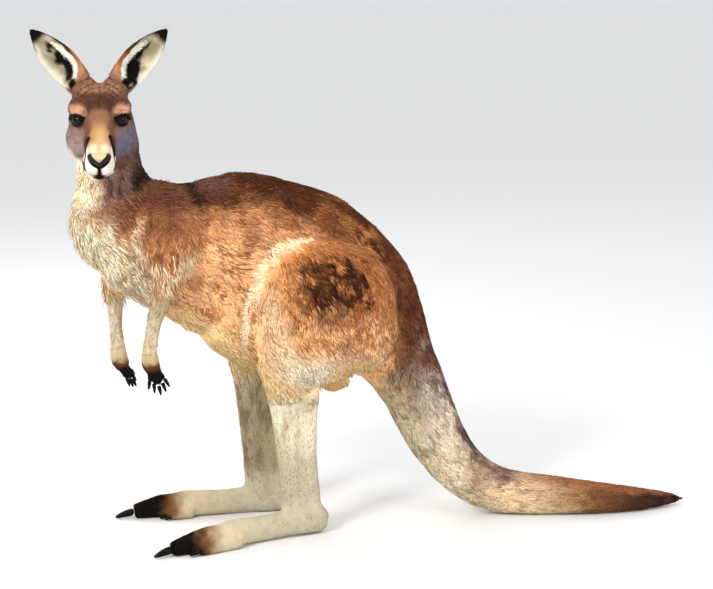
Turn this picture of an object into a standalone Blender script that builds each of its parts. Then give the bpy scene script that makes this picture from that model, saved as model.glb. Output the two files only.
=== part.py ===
"""A male red kangaroo, life size, standing at rest with its head turned to its left.

The animal faces -Y, its left side is +X and it stands on Z = 0 on its two feet and its
tail. The body is modelled whole from lofted tubes and egg-shaped muscles, fused into one
flesh, thinned to a light faceted mesh and then parted into named pieces by thin cuts.
The surface is the outline of the coat. Eyes, ears, nose pad and claws are set on it.
"""

import math

import bmesh
import bpy
import numpy as np
from mathutils import Matrix, Vector

# ---------------------------------------------------------------- driving sizes (metres)
GAP = 0.0004                # air left by each thin cut
VOXEL = 0.0038              # size of the grid that fuses the forms into one flesh
FLESH_TRIANGLES = 3500      # triangles left in the fused flesh before it is parted

HEAD_AT = Vector((0.053, -0.535, 1.0735))  # middle of the skull
HEAD_TURN = math.radians(76.6)             # the face looks this far to the left
HEAD_PITCH = math.radians(24.3)            # and the muzzle dips this much
EYE_RADIUS = 0.0190
EYE_AT = (0.0290, 0.0480, 0.0190)          # forward, sideways, up from the middle of the skull
EAR_LENGTH = 0.170
EAR_WIDTH = 0.097
EAR_WALL = 0.0042
HEEL = {1: Vector((0.111, 0.012, 0.0)), -1: Vector((-0.119, -0.026, 0.0))}
TOE_OUT = {1: math.radians(13.0), -1: math.radians(5.0)}
TOE_REACH = {1: 1.06, -1: 0.97}              # the toes of the far foot are drawn in a little
HAND_BEND = {1: math.radians(18), -1: math.radians(36)}   # the hand hangs back from the wrist
SIDE_NAME = {1: "left", -1: "right"}

UP = Vector((0.0, 0.0, 1.0))
LEFT = Vector((1.0, 0.0, 0.0))


# ---------------------------------------------------------------- helpers
def clear_scene():
    """Take every object of the opening scene away."""
    for thing in list(bpy.data.objects):
        bpy.data.objects.remove(thing, do_unlink=True)


def skin_colour(name, colour, roughness):
    """A plain finish with one colour."""
    finish = bpy.data.materials.new(name)
    finish.use_nodes = True
    shader = finish.node_tree.nodes["Principled BSDF"]
    shader.inputs["Base Color"].default_value = (*colour, 1.0)
    shader.inputs["Roughness"].default_value = roughness
    shader.inputs["Metallic"].default_value = 0.0
    return finish


def smooth_rows(rows, per_span):
    """Rows of numbers read along a Catmull-Rom curve through every given row."""
    rows = [np.array(row, dtype=float) for row in rows]
    padded = [2 * rows[0] - rows[1], *rows, 2 * rows[-1] - rows[-2]]
    out = []
    for a, b, c, d in zip(padded, padded[1:], padded[2:], padded[3:]):
        for step in range(per_span):
            t = step / per_span
            out.append(0.5 * (2 * b + (c - a) * t + (2 * a - 5 * b + 4 * c - d) * t * t
                              + (3 * b - a - 3 * c + d) * t ** 3))
    out.append(rows[-1])
    return out


def close_loft(mesh, rings):
    """Join rings of vertices into one closed loft with filled ends."""
    count = len(rings[0])
    for low, high in zip(rings, rings[1:]):
        for k in range(count):
            after = (k + 1) % count
            mesh.faces.new((low[k], low[after], high[after], high[k]))
    mesh.faces.new(list(reversed(rings[0])))
    mesh.faces.new(rings[-1])


def tube(mesh, rows, side=LEFT, sides=24, per_span=4, square=2.0, place=None):
    """A closed tube: each row is x, y, z, half width along side, half depth across it.

    square is the power of the section, 2 for an ellipse and more for a boxier one.
    """
    rows = smooth_rows(rows, per_span)
    rings = []
    for k, row in enumerate(rows):
        before, after = rows[max(k - 1, 0)][:3], rows[min(k + 1, len(rows) - 1)][:3]
        along = Vector(after - before).normalized()
        wide = (side - along * side.dot(along)).normalized()
        deep = wide.cross(along)
        half_width, half_depth = max(row[3], 1e-4), max(row[4], 1e-4)
        ring = []
        for n in range(sides):
            angle = 2 * math.pi * n / sides
            c, s = math.cos(angle), math.sin(angle)
            c = math.copysign(abs(c) ** (2 / square), c)
            s = math.copysign(abs(s) ** (2 / square), s)
            point = Vector(row[:3]) + wide * (c * half_width) + deep * (s * half_depth)
            ring.append(mesh.verts.new(place @ point if place else point))
        rings.append(ring)
    close_loft(mesh, rings)


def egg(mesh, centre, radii, tilt=0.0, place=None):
    """An egg-shaped muscle; tilt turns it about the side axis, nose down when positive."""
    turn = Matrix.Translation(Vector(centre)) @ Matrix.Rotation(tilt, 4, "X")
    turn = (place or Matrix()) @ turn @ Matrix.Diagonal((*radii, 1.0))
    bmesh.ops.create_uvsphere(mesh, u_segments=28, v_segments=18, radius=1.0, matrix=turn)


def head_frame():
    """The head's own frame: x to its left, y backwards, z up, as for a body facing -Y."""
    turn = Matrix.Rotation(HEAD_TURN, 4, "Z") @ Matrix.Rotation(HEAD_PITCH, 4, "X")
    return Matrix.Translation(HEAD_AT) @ turn


HEAD = head_frame()


def in_head(forward, sideways, up):
    """A place in the world from forward, sideways and up in the head."""
    return HEAD @ Vector((sideways, -forward, up))


def along_head(forward, sideways, up):
    """A direction in the world from forward, sideways and up in the head."""
    return (HEAD.to_3x3() @ Vector((sideways, -forward, up))).normalized()


# ---------------------------------------------------------------- the flesh, form by form
def trunk_and_tail(mesh):
    """Chest, belly and rump as one tube that runs on into the tail."""
    tube(mesh, [
        # x, y, z, half width, half depth
        (0.0, -0.545, 0.820, 0.052, 0.072),
        (0.0, -0.520, 0.812, 0.088, 0.108),
        (0.0, -0.470, 0.797, 0.104, 0.140),
        (0.0, -0.365, 0.750, 0.113, 0.165),
        (0.0, -0.265, 0.724, 0.131, 0.204),
        (0.0, -0.180, 0.706, 0.146, 0.228),
        (0.0, -0.090, 0.664, 0.154, 0.246),
        (0.0, 0.000, 0.625, 0.152, 0.248),
        (0.0, 0.080, 0.590, 0.146, 0.222),
        (0.0, 0.150, 0.548, 0.134, 0.186),
        (0.0, 0.208, 0.489, 0.116, 0.138),
        (0.0, 0.255, 0.419, 0.098, 0.104),
        (0.002, 0.297, 0.345, 0.084, 0.091),
        (0.008, 0.331, 0.267, 0.076, 0.085),
        (0.025, 0.363, 0.197, 0.071, 0.079),
        (0.050, 0.413, 0.125, 0.066, 0.071),
        (0.075, 0.475, 0.079, 0.061, 0.066),
        (0.100, 0.545, 0.059, 0.056, 0.061),
        (0.138, 0.655, 0.0510, 0.049, 0.0535),
        (0.168, 0.765, 0.0425, 0.041, 0.0445),
        (0.176, 0.860, 0.0335, 0.032, 0.0355),
        (0.168, 0.940, 0.0245, 0.022, 0.0265),
        (0.152, 1.000, 0.0160, 0.012, 0.0165),
        (0.141, 1.034, 0.0105, 0.003, 0.0040),
    ], sides=32, square=2.1)
    # the deep chest in front, the belly below and the loins above
    egg(mesh, (0.0, -0.490, 0.818), (0.100, 0.120, 0.134))
    egg(mesh, (0.0, -0.120, 0.585), (0.142, 0.200, 0.165), math.radians(-24))
    egg(mesh, (0.0, 0.060, 0.690), (0.120, 0.200, 0.120), math.radians(-26))


def neck(mesh):
    """The neck, deep and maned where it leaves the chest."""
    tube(mesh, [
        (0.0, -0.466, 0.800, 0.096, 0.132),
        (0.0, -0.484, 0.860, 0.091, 0.112),
        (0.0, -0.497, 0.910, 0.084, 0.095),
        (0.002, -0.505, 0.955, 0.078, 0.084),
        (0.005, -0.508, 1.000, 0.073, 0.081),
        (0.004, -0.513, 1.045, 0.069, 0.077),
        (0.004, -0.515, 1.085, 0.060, 0.070),
        (0.004, -0.522, 1.115, 0.042, 0.050),
    ], sides=28)


def head(mesh):
    """Skull and muzzle as one long wedge, with cheeks, brows, lips and ear roots."""
    rows = [
        # forward, top, bottom, half width
        (-0.098, 0.028, -0.040, 0.036),
        (-0.078, 0.059, -0.068, 0.061),
        (-0.045, 0.079, -0.088, 0.076),
        (-0.010, 0.078, -0.097, 0.075),
        (0.018, 0.066, -0.098, 0.058),
        (0.045, 0.047, -0.094, 0.0435),
        (0.078, 0.029, -0.091, 0.0395),
        (0.110, 0.015, -0.088, 0.0380),
        (0.138, 0.005, -0.082, 0.0355),
        (0.154, -0.006, -0.073, 0.0290),
        (0.162, -0.020, -0.058, 0.0140),
    ]
    tube(mesh, [(0.0, -f, (top + low) / 2, half, (top - low) / 2) for f, top, low, half in rows],
         sides=32, square=2.35, place=HEAD)
    for side in (1, -1):
        egg(mesh, (side * 0.048, 0.002, -0.052), (0.040, 0.054, 0.050), place=HEAD)
        egg(mesh, (side * 0.052, 0.000, 0.036), (0.029, 0.036, 0.019), math.radians(12), place=HEAD)
        egg(mesh, (side * 0.058, 0.012, -0.008), (0.021, 0.046, 0.020), math.radians(10), place=HEAD)
        egg(mesh, (side * 0.025, -0.118, -0.050), (0.0195, 0.036, 0.026), place=HEAD)
        egg(mesh, (side * 0.037, 0.051, 0.057), (0.035, 0.035, 0.037), place=HEAD)
    egg(mesh, (0.0, -0.112, -0.080), (0.024, 0.034, 0.015), place=HEAD)


ARMS = {
    # shoulder, elbow and wrist of each arm, in the order they hang
    1: [(0.120, -0.377, 0.835, 0.044, 0.070), (0.128, -0.383, 0.770, 0.045, 0.066),
        (0.138, -0.387, 0.710, 0.036, 0.055), (0.145, -0.395, 0.680, 0.032, 0.044),
        (0.148, -0.408, 0.645, 0.028, 0.034), (0.148, -0.420, 0.610, 0.0235, 0.0245),
        (0.147, -0.433, 0.560, 0.0195, 0.0195), (0.145, -0.441, 0.512, 0.0185, 0.0200),
        (0.143, -0.439, 0.480, 0.0235, 0.0235), (0.141, -0.430, 0.455, 0.0225, 0.0190)],
    -1: [(-0.118, -0.396, 0.830, 0.044, 0.070), (-0.126, -0.412, 0.765, 0.045, 0.066),
         (-0.137, -0.440, 0.700, 0.037, 0.055), (-0.142, -0.460, 0.655, 0.032, 0.043),
         (-0.142, -0.468, 0.615, 0.028, 0.033), (-0.139, -0.466, 0.575, 0.0225, 0.0225),
         (-0.133, -0.466, 0.525, 0.0190, 0.0190), (-0.127, -0.464, 0.476, 0.0185, 0.0200),
         (-0.124, -0.460, 0.440, 0.0235, 0.0235), (-0.122, -0.450, 0.415, 0.0225, 0.0190)],
}
FINGER_FAN = (-23, -11, 0, 12, 25)          # degrees from the middle finger
FINGER_LENGTH = (0.022, 0.030, 0.037, 0.031, 0.023)
FINGER_RADIUS = 0.0084
FINGER_CLAW = (0.032, 0.0060)               # length and radius at the root


def hand_frame(side):
    """Palm centre, the way the fingers point, the way they fan and the palm's back."""
    palm = Vector(ARMS[side][-1][:3])
    down = Vector((0.0, math.sin(HAND_BEND[side]), -math.cos(HAND_BEND[side])))
    fan = Vector((side * 0.70, 0.72 if side > 0 else 0.50, 0.0))
    fan = (fan - down * fan.dot(down)).normalized()
    return palm, down, fan


def fingers(side):
    """Root and direction of each finger of one hand."""
    palm, down, fan = hand_frame(side)
    for place, degrees in enumerate(FINGER_FAN):
        angle = math.radians(degrees)
        way = (down * math.cos(angle) + fan * math.sin(angle)).normalized()
        root = palm + fan * (math.sin(angle) * 0.032)
        yield root, way, FINGER_LENGTH[place]


def arm(mesh, side):
    """Upper arm, forearm, hand and five short fingers, with the shoulder over them."""
    tube(mesh, ARMS[side], sides=20)
    shoulder = Vector(ARMS[side][0][:3])
    egg(mesh, (side * 0.086, shoulder.y + 0.018, 0.800), (0.055, 0.088, 0.090), math.radians(-14))
    spare = 0.006
    for root, way, length in fingers(side):
        start, end = root - way * 0.012, root + way * (length + spare)
        middle = (start + end) / 2
        tube(mesh, [(*start, 0.0085, 0.0085), (*middle, FINGER_RADIUS, FINGER_RADIUS),
                    (*end, FINGER_RADIUS * 0.9, FINGER_RADIUS * 0.9)],
             side=hand_frame(side)[2], sides=12)


def leg_frame(side):
    """The leg's own frame on the floor under its heel, x outwards and y backwards."""
    turn = Matrix.Rotation(side * TOE_OUT[side], 4, "Z")
    return Matrix.Translation(HEEL[side]) @ turn


# toes: name, sideways root and end, how far along the foot they start and end, half width,
# half height at the root and at the end, claw length and claw radius
TOE_ROOT = -0.262                            # the foot is parted from its toes here
TOES = {
    "fourth": (0.003, 0.007, 0.250, 0.408, 0.0225, 0.0345, 0.0200, 0.066, 0.0125),
    "fifth": (0.030, 0.040, 0.245, 0.350, 0.0150, 0.0250, 0.0150, 0.040, 0.0085),
    "third": (-0.022, -0.025, 0.245, 0.325, 0.0085, 0.0210, 0.0110, 0.023, 0.0052),
    "second": (-0.032, -0.038, 0.245, 0.315, 0.0080, 0.0190, 0.0105, 0.022, 0.0052),
}


def toe_line(side, toe):
    """Root, end and direction of one toe in the world."""
    side_root, side_end, start, end, _, high_root, high_end, _, _ = TOES[toe]
    frame = leg_frame(side)
    root = frame @ Vector((side * side_root, -start, high_root - 0.003))
    tip = frame @ Vector((side * side_end, -end * TOE_REACH[side], high_end - 0.002))
    return root, tip, (tip - root).normalized()


def leg(mesh, side):
    """Thigh, shin, heel tendon and long flat foot of one side."""
    heel, out = HEEL[side], side
    back = heel.y - HEEL[1].y + (0.008 if side < 0 else 0.0)
    ankle = heel.x + out * 0.004
    tube(mesh, [                       # thigh, widest across the hip, down to the knee
        (out * 0.112, 0.062, 0.748, 0.046, 0.105),
        (out * 0.124, 0.045, 0.690, 0.070, 0.160),
        (out * 0.136, 0.022, 0.612, 0.084, 0.192),
        (out * 0.144, -0.014, 0.532, 0.081, 0.168),
        (out * 0.146, -0.055, 0.472, 0.068, 0.122),
        (out * 0.138, -0.082 + back * 0.5, 0.420, 0.053, 0.080),
        (out * 0.126, -0.088 + back * 0.7, 0.370, 0.040, 0.050),
    ], sides=28)
    egg(mesh, (out * 0.128, 0.098, 0.528), (0.076, 0.118, 0.116), math.radians(-30))
    tube(mesh, [                       # shin
        (out * 0.140, -0.104 + back * 0.4, 0.470, 0.050, 0.066),
        (out * 0.134, -0.100 + back * 0.6, 0.420, 0.044, 0.055),
        (out * 0.045 + ankle * 0.66, -0.091 + back * 0.8, 0.360, 0.038, 0.043),
        (ankle, -0.084 + back, 0.300, 0.034, 0.0365),
        (ankle, -0.077 + back, 0.200, 0.0305, 0.0320),
        (ankle, -0.069 + back, 0.120, 0.0305, 0.0325),
        (ankle, -0.060 + back, 0.070, 0.0330, 0.0370),
        (ankle, -0.056 + back, 0.036, 0.0300, 0.0340),
    ], sides=20)
    tube(mesh, [                       # calf and the strong tendon down to the heel
        (out * 0.134, -0.034 + back * 0.3, 0.470, 0.046, 0.062),
        (out * 0.045 + ankle * 0.66, -0.030 + back * 0.6, 0.390, 0.036, 0.042),
        (ankle, -0.024 + back, 0.310, 0.0250, 0.0270),
        (ankle, -0.018 + back, 0.200, 0.0200, 0.0195),
        (ankle, -0.009 + back, 0.110, 0.0200, 0.0190),
        (heel.x, -0.008 + back, 0.040, 0.0240, 0.0220),
    ], sides=16)
    tube(mesh, [                       # thin web between shin and tendon
        (ankle, -0.050 + back * 0.6, 0.400, 0.026, 0.050),
        (ankle, -0.046 + back, 0.250, 0.0170, 0.036),
        (ankle, -0.036 + back, 0.080, 0.0190, 0.034),
    ], sides=16)
    frame = leg_frame(side)
    tube(mesh, [                       # heel, arch and ball of the foot
        (0.0, 0.016, 0.030, 0.012, 0.018),
        (0.0, 0.006, 0.032, 0.027, 0.033),
        (0.0, -0.030, 0.038, 0.030, 0.042),
        (0.0, -0.090, 0.0365, 0.028, 0.0350),
        (out * -0.001, -0.160, 0.0340, 0.0285, 0.0335),
        (out * 0.001, -0.225, 0.0340, 0.0325, 0.0350),
        (out * 0.003, -0.262, 0.0335, 0.0370, 0.0350),
        (out * 0.004, -0.300, 0.0290, 0.0310, 0.0290),
    ], sides=20, square=2.3, place=frame)
    for toe, (_, _, _, _, half, high_root, high_end, _, _) in TOES.items():
        root, tip, way = toe_line(side, toe)
        spare = way * 0.006
        level = Vector((way.y, -way.x, 0.0)).normalized()
        middle = root.lerp(tip, 0.5) + UP * (high_root - high_end) * 0.35
        tube(mesh, [(*root, half, high_root), (*middle, half, high_root * 0.92),
                    (*(tip + spare), half * 0.86, high_end)], side=level, sides=14, square=2.2)


def hind_bag(mesh):
    """The male's pouch of skin below the rump."""
    egg(mesh, (0.0, 0.082, 0.372), (0.030, 0.048, 0.036))


# ---------------------------------------------------------------- one flesh from all forms
def distance_to_line(points, start, end):
    """How far each point is from the stretch between two places."""
    start, end = np.array(start), np.array(end)
    line = end - start
    t = np.clip((points - start) @ line / (line @ line), 0.0, 1.0)
    return np.linalg.norm(points - start - t[:, None] * line, axis=1)


def softness(points):
    """How much each point is smoothed: fully on the trunk, little on head, hands and feet."""
    fine = [(in_head(-0.02, 0, 0), in_head(0.14, 0, -0.04), 0.085, 0.16, 0.08)]
    for side in (1, -1):
        elbow, wrist, palm = (Vector(ARMS[side][k][:3]) for k in (4, 6, 9))
        knee = Vector((side * 0.13, -0.070, 0.350))
        heel = HEEL[side] + UP * 0.030
        toe = leg_frame(side) @ Vector((0.0, -0.380, 0.020))
        fine += [(elbow, wrist, 0.05, 0.10, 0.25), (wrist, palm - UP * 0.05, 0.05, 0.09, 0.04),
                 (knee, heel, 0.06, 0.14, 0.22), (heel, toe, 0.07, 0.12, 0.07)]
    soft = np.ones(len(points))
    for start, end, near, far, least in fine:
        reach = (distance_to_line(points, start, end) - near) / (far - near)
        soft = np.minimum(soft, least + (1 - least) * np.clip(reach, 0.0, 1.0))
    return soft


def read_mesh(thing):
    """A new mesh of an object as its modifiers leave it."""
    return bpy.data.meshes.new_from_object(thing.evaluated_get(
        bpy.context.evaluated_depsgraph_get()))


def link(name, data):
    """A new object in the scene."""
    thing = bpy.data.objects.new(name, data)
    bpy.context.scene.collection.objects.link(thing)
    return thing


def stamp(thing):
    """Make what the modifiers show the object's own mesh."""
    done = read_mesh(thing)
    old = thing.data
    thing.modifiers.clear()
    thing.data = done
    bpy.data.meshes.remove(old)


def whole_flesh():
    """Fuse every form, smooth the joins, thin the mesh and set it flat on the floor."""
    forms = bmesh.new()
    trunk_and_tail(forms)
    neck(forms)
    head(forms)
    hind_bag(forms)
    for side in (1, -1):
        arm(forms, side)
        leg(forms, side)
    bmesh.ops.recalc_face_normals(forms, faces=forms.faces)
    data = bpy.data.meshes.new("flesh")
    forms.to_mesh(data)
    forms.free()
    flesh = link("flesh", data)
    fuse = flesh.modifiers.new("Fuse", "REMESH")
    fuse.mode = "VOXEL"
    fuse.voxel_size = VOXEL
    stamp(flesh)
    points = np.empty(len(flesh.data.vertices) * 3)
    flesh.data.vertices.foreach_get("co", points)
    soft = softness(points.reshape(-1, 3))
    group = flesh.vertex_groups.new(name="soft")
    for step in range(1, 51):
        chosen = np.nonzero(np.round(soft * 50) == step)[0]
        group.add(chosen.tolist(), step / 50, "REPLACE")
    calm = flesh.modifiers.new("Calm", "SMOOTH")
    calm.factor = 0.5
    calm.iterations = 80
    calm.vertex_group = "soft"
    thin = flesh.modifiers.new("Thin", "DECIMATE")
    thin.ratio = FLESH_TRIANGLES / (2 * len(flesh.data.polygons))
    stamp(flesh)
    for vertex in flesh.data.vertices:
        vertex.co.z = max(vertex.co.z, 0.0)
    return flesh


# ---------------------------------------------------------------- thin cuts
def guide(name, mesh):
    """Keep a cutter out of the model."""
    data = bpy.data.meshes.new(name)
    mesh.to_mesh(data)
    mesh.free()
    thing = link(name, data)
    thing.hide_render = True
    thing.display_type = "WIRE"
    return thing


def plate(mesh, centre, normal, half_across, half_along, across=LEFT):
    """A thin flat cut, across one way and along the other, square to its normal."""
    normal = Vector(normal).normalized()
    wide = (across - normal * across.dot(normal)).normalized()
    turn = Matrix((wide, normal.cross(wide), normal)).transposed().to_4x4()
    size = Matrix.Diagonal((2 * half_across, 2 * half_along, GAP, 1.0))
    bmesh.ops.create_cube(mesh, size=1.0, matrix=Matrix.Translation(Vector(centre)) @ turn @ size)


def shell(mesh, centre, radii, tilt):
    """A thin egg-shaped cut round a muscle: two walls a gap apart."""
    place = Matrix.Translation(Vector(centre)) @ Matrix.Rotation(tilt, 4, "X")
    for spare in (0.0, GAP):
        size = Matrix.Diagonal((*(radius + spare for radius in radii), 1.0))
        made = bmesh.ops.create_uvsphere(mesh, u_segments=14, v_segments=9, radius=1.0,
                                         matrix=place @ size)
        if spare == 0.0:
            faces = {face for vertex in made["verts"] for face in vertex.link_faces}
            bmesh.ops.reverse_faces(mesh, faces=list(faces))


def plug(mesh, base, way, radius, length, sides=8):
    """A short cylinder that trims everything past its base."""
    turn = Vector(way).to_track_quat("Z", "Y").to_matrix().to_4x4()
    bmesh.ops.create_cone(mesh, cap_ends=True, segments=sides, radius1=radius,
                          radius2=radius, depth=length,
                          matrix=Matrix.Translation(Vector(base) + way * (length / 2)) @ turn)


def ball(mesh, centre, radii, segments):
    """A round cut in the head."""
    bmesh.ops.create_uvsphere(mesh, u_segments=segments[0], v_segments=segments[1], radius=1.0,
                              matrix=HEAD @ Matrix.Translation(Vector(centre))
                              @ Matrix.Diagonal((*radii, 1.0)))


def cross_cuts(mesh):
    """Flat cuts across the neck, the trunk, the tail and the limbs."""
    plate(mesh, (0.006, -0.512, 0.998), (0.53, -0.08, 0.85), 0.092, 0.125)
    plate(mesh, (0, -0.492, 0.890), (0, -0.34, 0.94), 0.120, 0.190)
    plate(mesh, (0, -0.285, 0.730), (0, 0.95, -0.30), 0.190, 0.255)
    plate(mesh, (0, -0.192, 0.705), (0, 0.914, -0.406), 0.200, 0.270)
    plate(mesh, (0, 0.281, 0.378), (0, 0.50, -0.866), 0.125, 0.135)
    plate(mesh, (0.038, 0.390, 0.155), (0.25, 0.62, -0.80), 0.110, 0.110)
    plate(mesh, (0.120, 0.600, 0.055), (0.34, 0.94, -0.10), 0.080, 0.080)
    plate(mesh, (0.173, 0.815, 0.038), (0.15, 0.98, -0.05), 0.065, 0.065)
    plate(mesh, (0, 0.082, 0.376), (0, 0.22, 1.0), 0.040, 0.062)
    for side in (1, -1):
        wrist, palm = (Vector(ARMS[side][k][:3]) for k in (7, 9))
        back = HEEL[side].y - HEEL[1].y
        frame = leg_frame(side)
        plate(mesh, wrist, palm - wrist, 0.034, 0.038)
        plate(mesh, (HEEL[side].x, -0.044 + back, 0.090), (0, 0.02, 1), 0.060, 0.080)
        plate(mesh, frame @ Vector((0, TOE_ROOT, 0.030)), frame.to_3x3() @ Vector((0, 1, 0)),
              0.065, 0.045)


def muscle_cuts(mesh):
    """Round cuts that free the thighs and the upper arms, down to knee and elbow."""
    for side in (1, -1):
        shoulder = Vector(ARMS[side][1][:3])
        shell(mesh, (side * 0.205, 0.018, 0.584), (0.138, 0.208, 0.200), math.radians(-16))
        shell(mesh, (side * 0.185, shoulder.y - 0.004, 0.780), (0.094, 0.088, 0.130),
              math.radians(6))


def limb_cuts(mesh):
    """Flat cuts just below the knee and the elbow, where the round cuts run out."""
    for side in (1, -1):
        elbow, below = (Vector(ARMS[side][k][:3]) for k in (4, 5))
        back = HEEL[side].y - HEEL[1].y
        plate(mesh, (side * 0.128, -0.062 + back * 0.8, 0.364), (0, 0.04, 1), 0.056, 0.100)
        plate(mesh, elbow + (below - elbow) * 0.15, below - elbow, 0.042, 0.046)


def setting_cuts(mesh):
    """Room for the eyes, the nose pad and the ears."""
    ball(mesh, head_place(*NOSE_AT), tuple(radius + GAP for radius in NOSE_RADII), (10, 7))
    for side in (1, -1):
        forward, sideways, up = EYE_AT
        ball(mesh, head_place(forward, side * sideways, up), (EYE_RADIUS + GAP,) * 3, (12, 8))
        root, stand, _, _ = ear_axes(side)
        plug(mesh, root, stand, 0.052, 0.040, 12)


def claw_cuts(mesh, turn):
    """Flat ends for one finger of each hand and one toe of each foot."""
    for name, root, way, _, _, radius in claw_specs():
        number = CLAW_TURN.index(name.split("_")[-1 if "finger" in name else -2])
        if number % 5 == turn:
            plug(mesh, root, way, FINGER_RADIUS * 1.6 if "finger" in name else radius * 2.2, 0.030)


CLAW_TURN = ["1", "2", "3", "4", "5", "fourth", "fifth", "third", "second"]


def claw_specs():
    """Every claw: name, root, direction, the way it curls, length and root radius."""
    for side in (1, -1):
        name = SIDE_NAME[side]
        fan = hand_frame(side)[2]
        for number, (root, way, length) in enumerate(fingers(side), start=1):
            curl = way.cross(fan) * side
            yield (f"finger_claw_{name}_{number}", root + way * length, way, curl, *FINGER_CLAW)
        for toe in TOES:
            _, tip, way = toe_line(side, toe)
            length, radius = TOES[toe][-2:]
            yield f"toe_claw_{toe}_{name}", tip, way, -UP, length, radius


def claw(name, root, way, curl, length, radius, finish):
    """A curved cone on a flat root; toe claws keep clear of the floor."""
    mesh = bmesh.new()
    across = way.cross(curl).normalized()
    curl = across.cross(way).normalized()
    sides, rows = 6, 3
    rings = []
    for row in range(rows):
        t = row / (rows - 0.4)
        centre = root + way * (GAP + length * t) + curl * (length * 0.20 * t * t)
        girth = radius * (1 - t ** 1.6) + 0.0004
        ring = []
        for k in range(sides):
            angle = 2 * math.pi * k / sides
            point = centre + across * (math.cos(angle) * girth) + curl * (math.sin(angle) * girth)
            point.z = max(point.z, 0.0008)
            ring.append(mesh.verts.new(point))
        rings.append(ring)
    close_loft(mesh, rings)
    return solid(name, mesh, finish)


def solid(name, mesh, finish):
    """A finished piece from a mesh, its faces pointing out."""
    bmesh.ops.recalc_face_normals(mesh, faces=mesh.faces)
    bmesh.ops.triangulate(mesh, faces=mesh.faces)
    data = bpy.data.meshes.new(name)
    mesh.to_mesh(data)
    mesh.free()
    data.shade_smooth()
    data.materials.append(finish)
    return link(name, data)


def ear_axes(side):
    """Root of the ear, the way it stands, the way it opens and its width direction."""
    root = in_head(-0.0555, side * 0.0535, 0.0770)
    stand = along_head(-0.385, side * 0.66, 0.64)
    look = along_head(0.80, side * 0.50, 0.30)
    look = (look - stand * look.dot(stand)).normalized()
    return root, stand, look, stand.cross(look).normalized()


def ear(side, finish):
    """A tall leaf-shaped cup, solid at its root and hollow above it."""
    root, stand, look, wide = ear_axes(side)
    mesh = bmesh.new()
    rows = smooth_rows([
        # along, half width, depth of the cup, how hollow it is
        (0.00, 0.38, 0.30, 0.00), (0.08, 0.42, 0.35, 0.20), (0.20, 0.465, 0.38, 0.90),
        (0.38, 0.500, 0.32, 1.00), (0.55, 0.450, 0.25, 1.00), (0.72, 0.345, 0.18, 1.00),
        (0.86, 0.225, 0.11, 1.00), (0.95, 0.120, 0.06, 0.80), (1.00, 0.035, 0.025, 0.30),
    ], 1)
    half_points = 7
    rings = []
    for along, half, depth, hollow in rows:
        half, depth = half * EAR_WIDTH, depth * EAR_WIDTH
        centre = root + stand * (GAP + along * EAR_LENGTH)
        wall = min(EAR_WALL, depth * 0.55)
        ring = []
        for k in range(half_points):            # round the back from edge to edge
            angle = math.pi * k / (half_points - 1)
            ring.append(centre + wide * (math.cos(angle) * half) - look * (math.sin(angle) * depth))
        for k in range(1, half_points - 1):     # and back along the inside of the cup
            angle = math.pi * (1 - k / (half_points - 1))
            flat = look * (math.sin(angle) * depth * 0.75)
            deep = -look * (math.sin(angle) * (depth - wall))
            inner = flat.lerp(deep, hollow)
            ring.append(centre + wide * (math.cos(angle) * (half - wall * hollow)) + inner)
        rings.append([mesh.verts.new(point) for point in ring])
    close_loft(mesh, rings)
    return solid(f"ear_{SIDE_NAME[side]}", mesh, finish)


NOSE_AT = (0.1545, 0.0, -0.0200)              # forward, sideways, up
NOSE_RADII = (0.0250, 0.0150, 0.0155)         # sideways, forward, up


def round_piece(name, centre, radii, finish, segments):
    """An eyeball or the nose pad."""
    mesh = bmesh.new()
    bmesh.ops.create_uvsphere(mesh, u_segments=segments[0], v_segments=segments[1], radius=1.0,
                              matrix=HEAD @ Matrix.Translation(Vector(centre))
                              @ Matrix.Diagonal((*radii, 1.0)))
    return solid(name, mesh, finish)


def head_place(forward, sideways, up):
    """The same place in the head frame's own x, y, z."""
    return (sideways, -forward, up)


# ---------------------------------------------------------------- naming the pieces
def piece_seeds():
    """A place inside each piece of flesh."""
    seeds = {
        "head": in_head(-0.01, 0, 0.0),
        "neck": (0, -0.500, 0.955), "chest": (0, -0.420, 0.770), "abdomen": (0, -0.235, 0.720),
        "pelvis": (0, 0.020, 0.610), "scrotum": (0, 0.098, 0.355),
        "tail_root": (0.010, 0.340, 0.260), "tail_upper": (0.080, 0.490, 0.080),
        "tail_middle": (0.160, 0.710, 0.045), "tail_end": (0.190, 0.900, 0.025),
    }
    for side in (1, -1):
        name = SIDE_NAME[side]
        rows = ARMS[side]
        shift = HEEL[side].y - HEEL[1].y
        seeds[f"upper_arm_{name}"] = Vector(rows[1][:3]) + LEFT * side * 0.02
        seeds[f"forearm_{name}"] = Vector(rows[5][:3])
        seeds[f"hand_{name}"] = Vector(rows[9][:3])
        seeds[f"thigh_{name}"] = (side * 0.180, 0.020, 0.580)
        seeds[f"shank_{name}"] = (HEEL[side].x, -0.060 + shift, 0.240)
        seeds[f"foot_{name}"] = leg_frame(side) @ Vector((0, -0.130, 0.035))
        seeds[f"toes_{name}"] = leg_frame(side) @ Vector((0, -0.330, 0.020))
    return {name: Vector(place) for name, place in seeds.items()}


def islands(mesh):
    """The separate bodies of a mesh, as lists of faces."""
    left = set(mesh.faces)
    while left:
        start = left.pop()
        body, edge = [start], [start]
        while edge:
            face = edge.pop()
            for side in face.edges:
                for other in side.link_faces:
                    if other in left:
                        left.remove(other)
                        body.append(other)
                        edge.append(other)
        yield body


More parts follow.
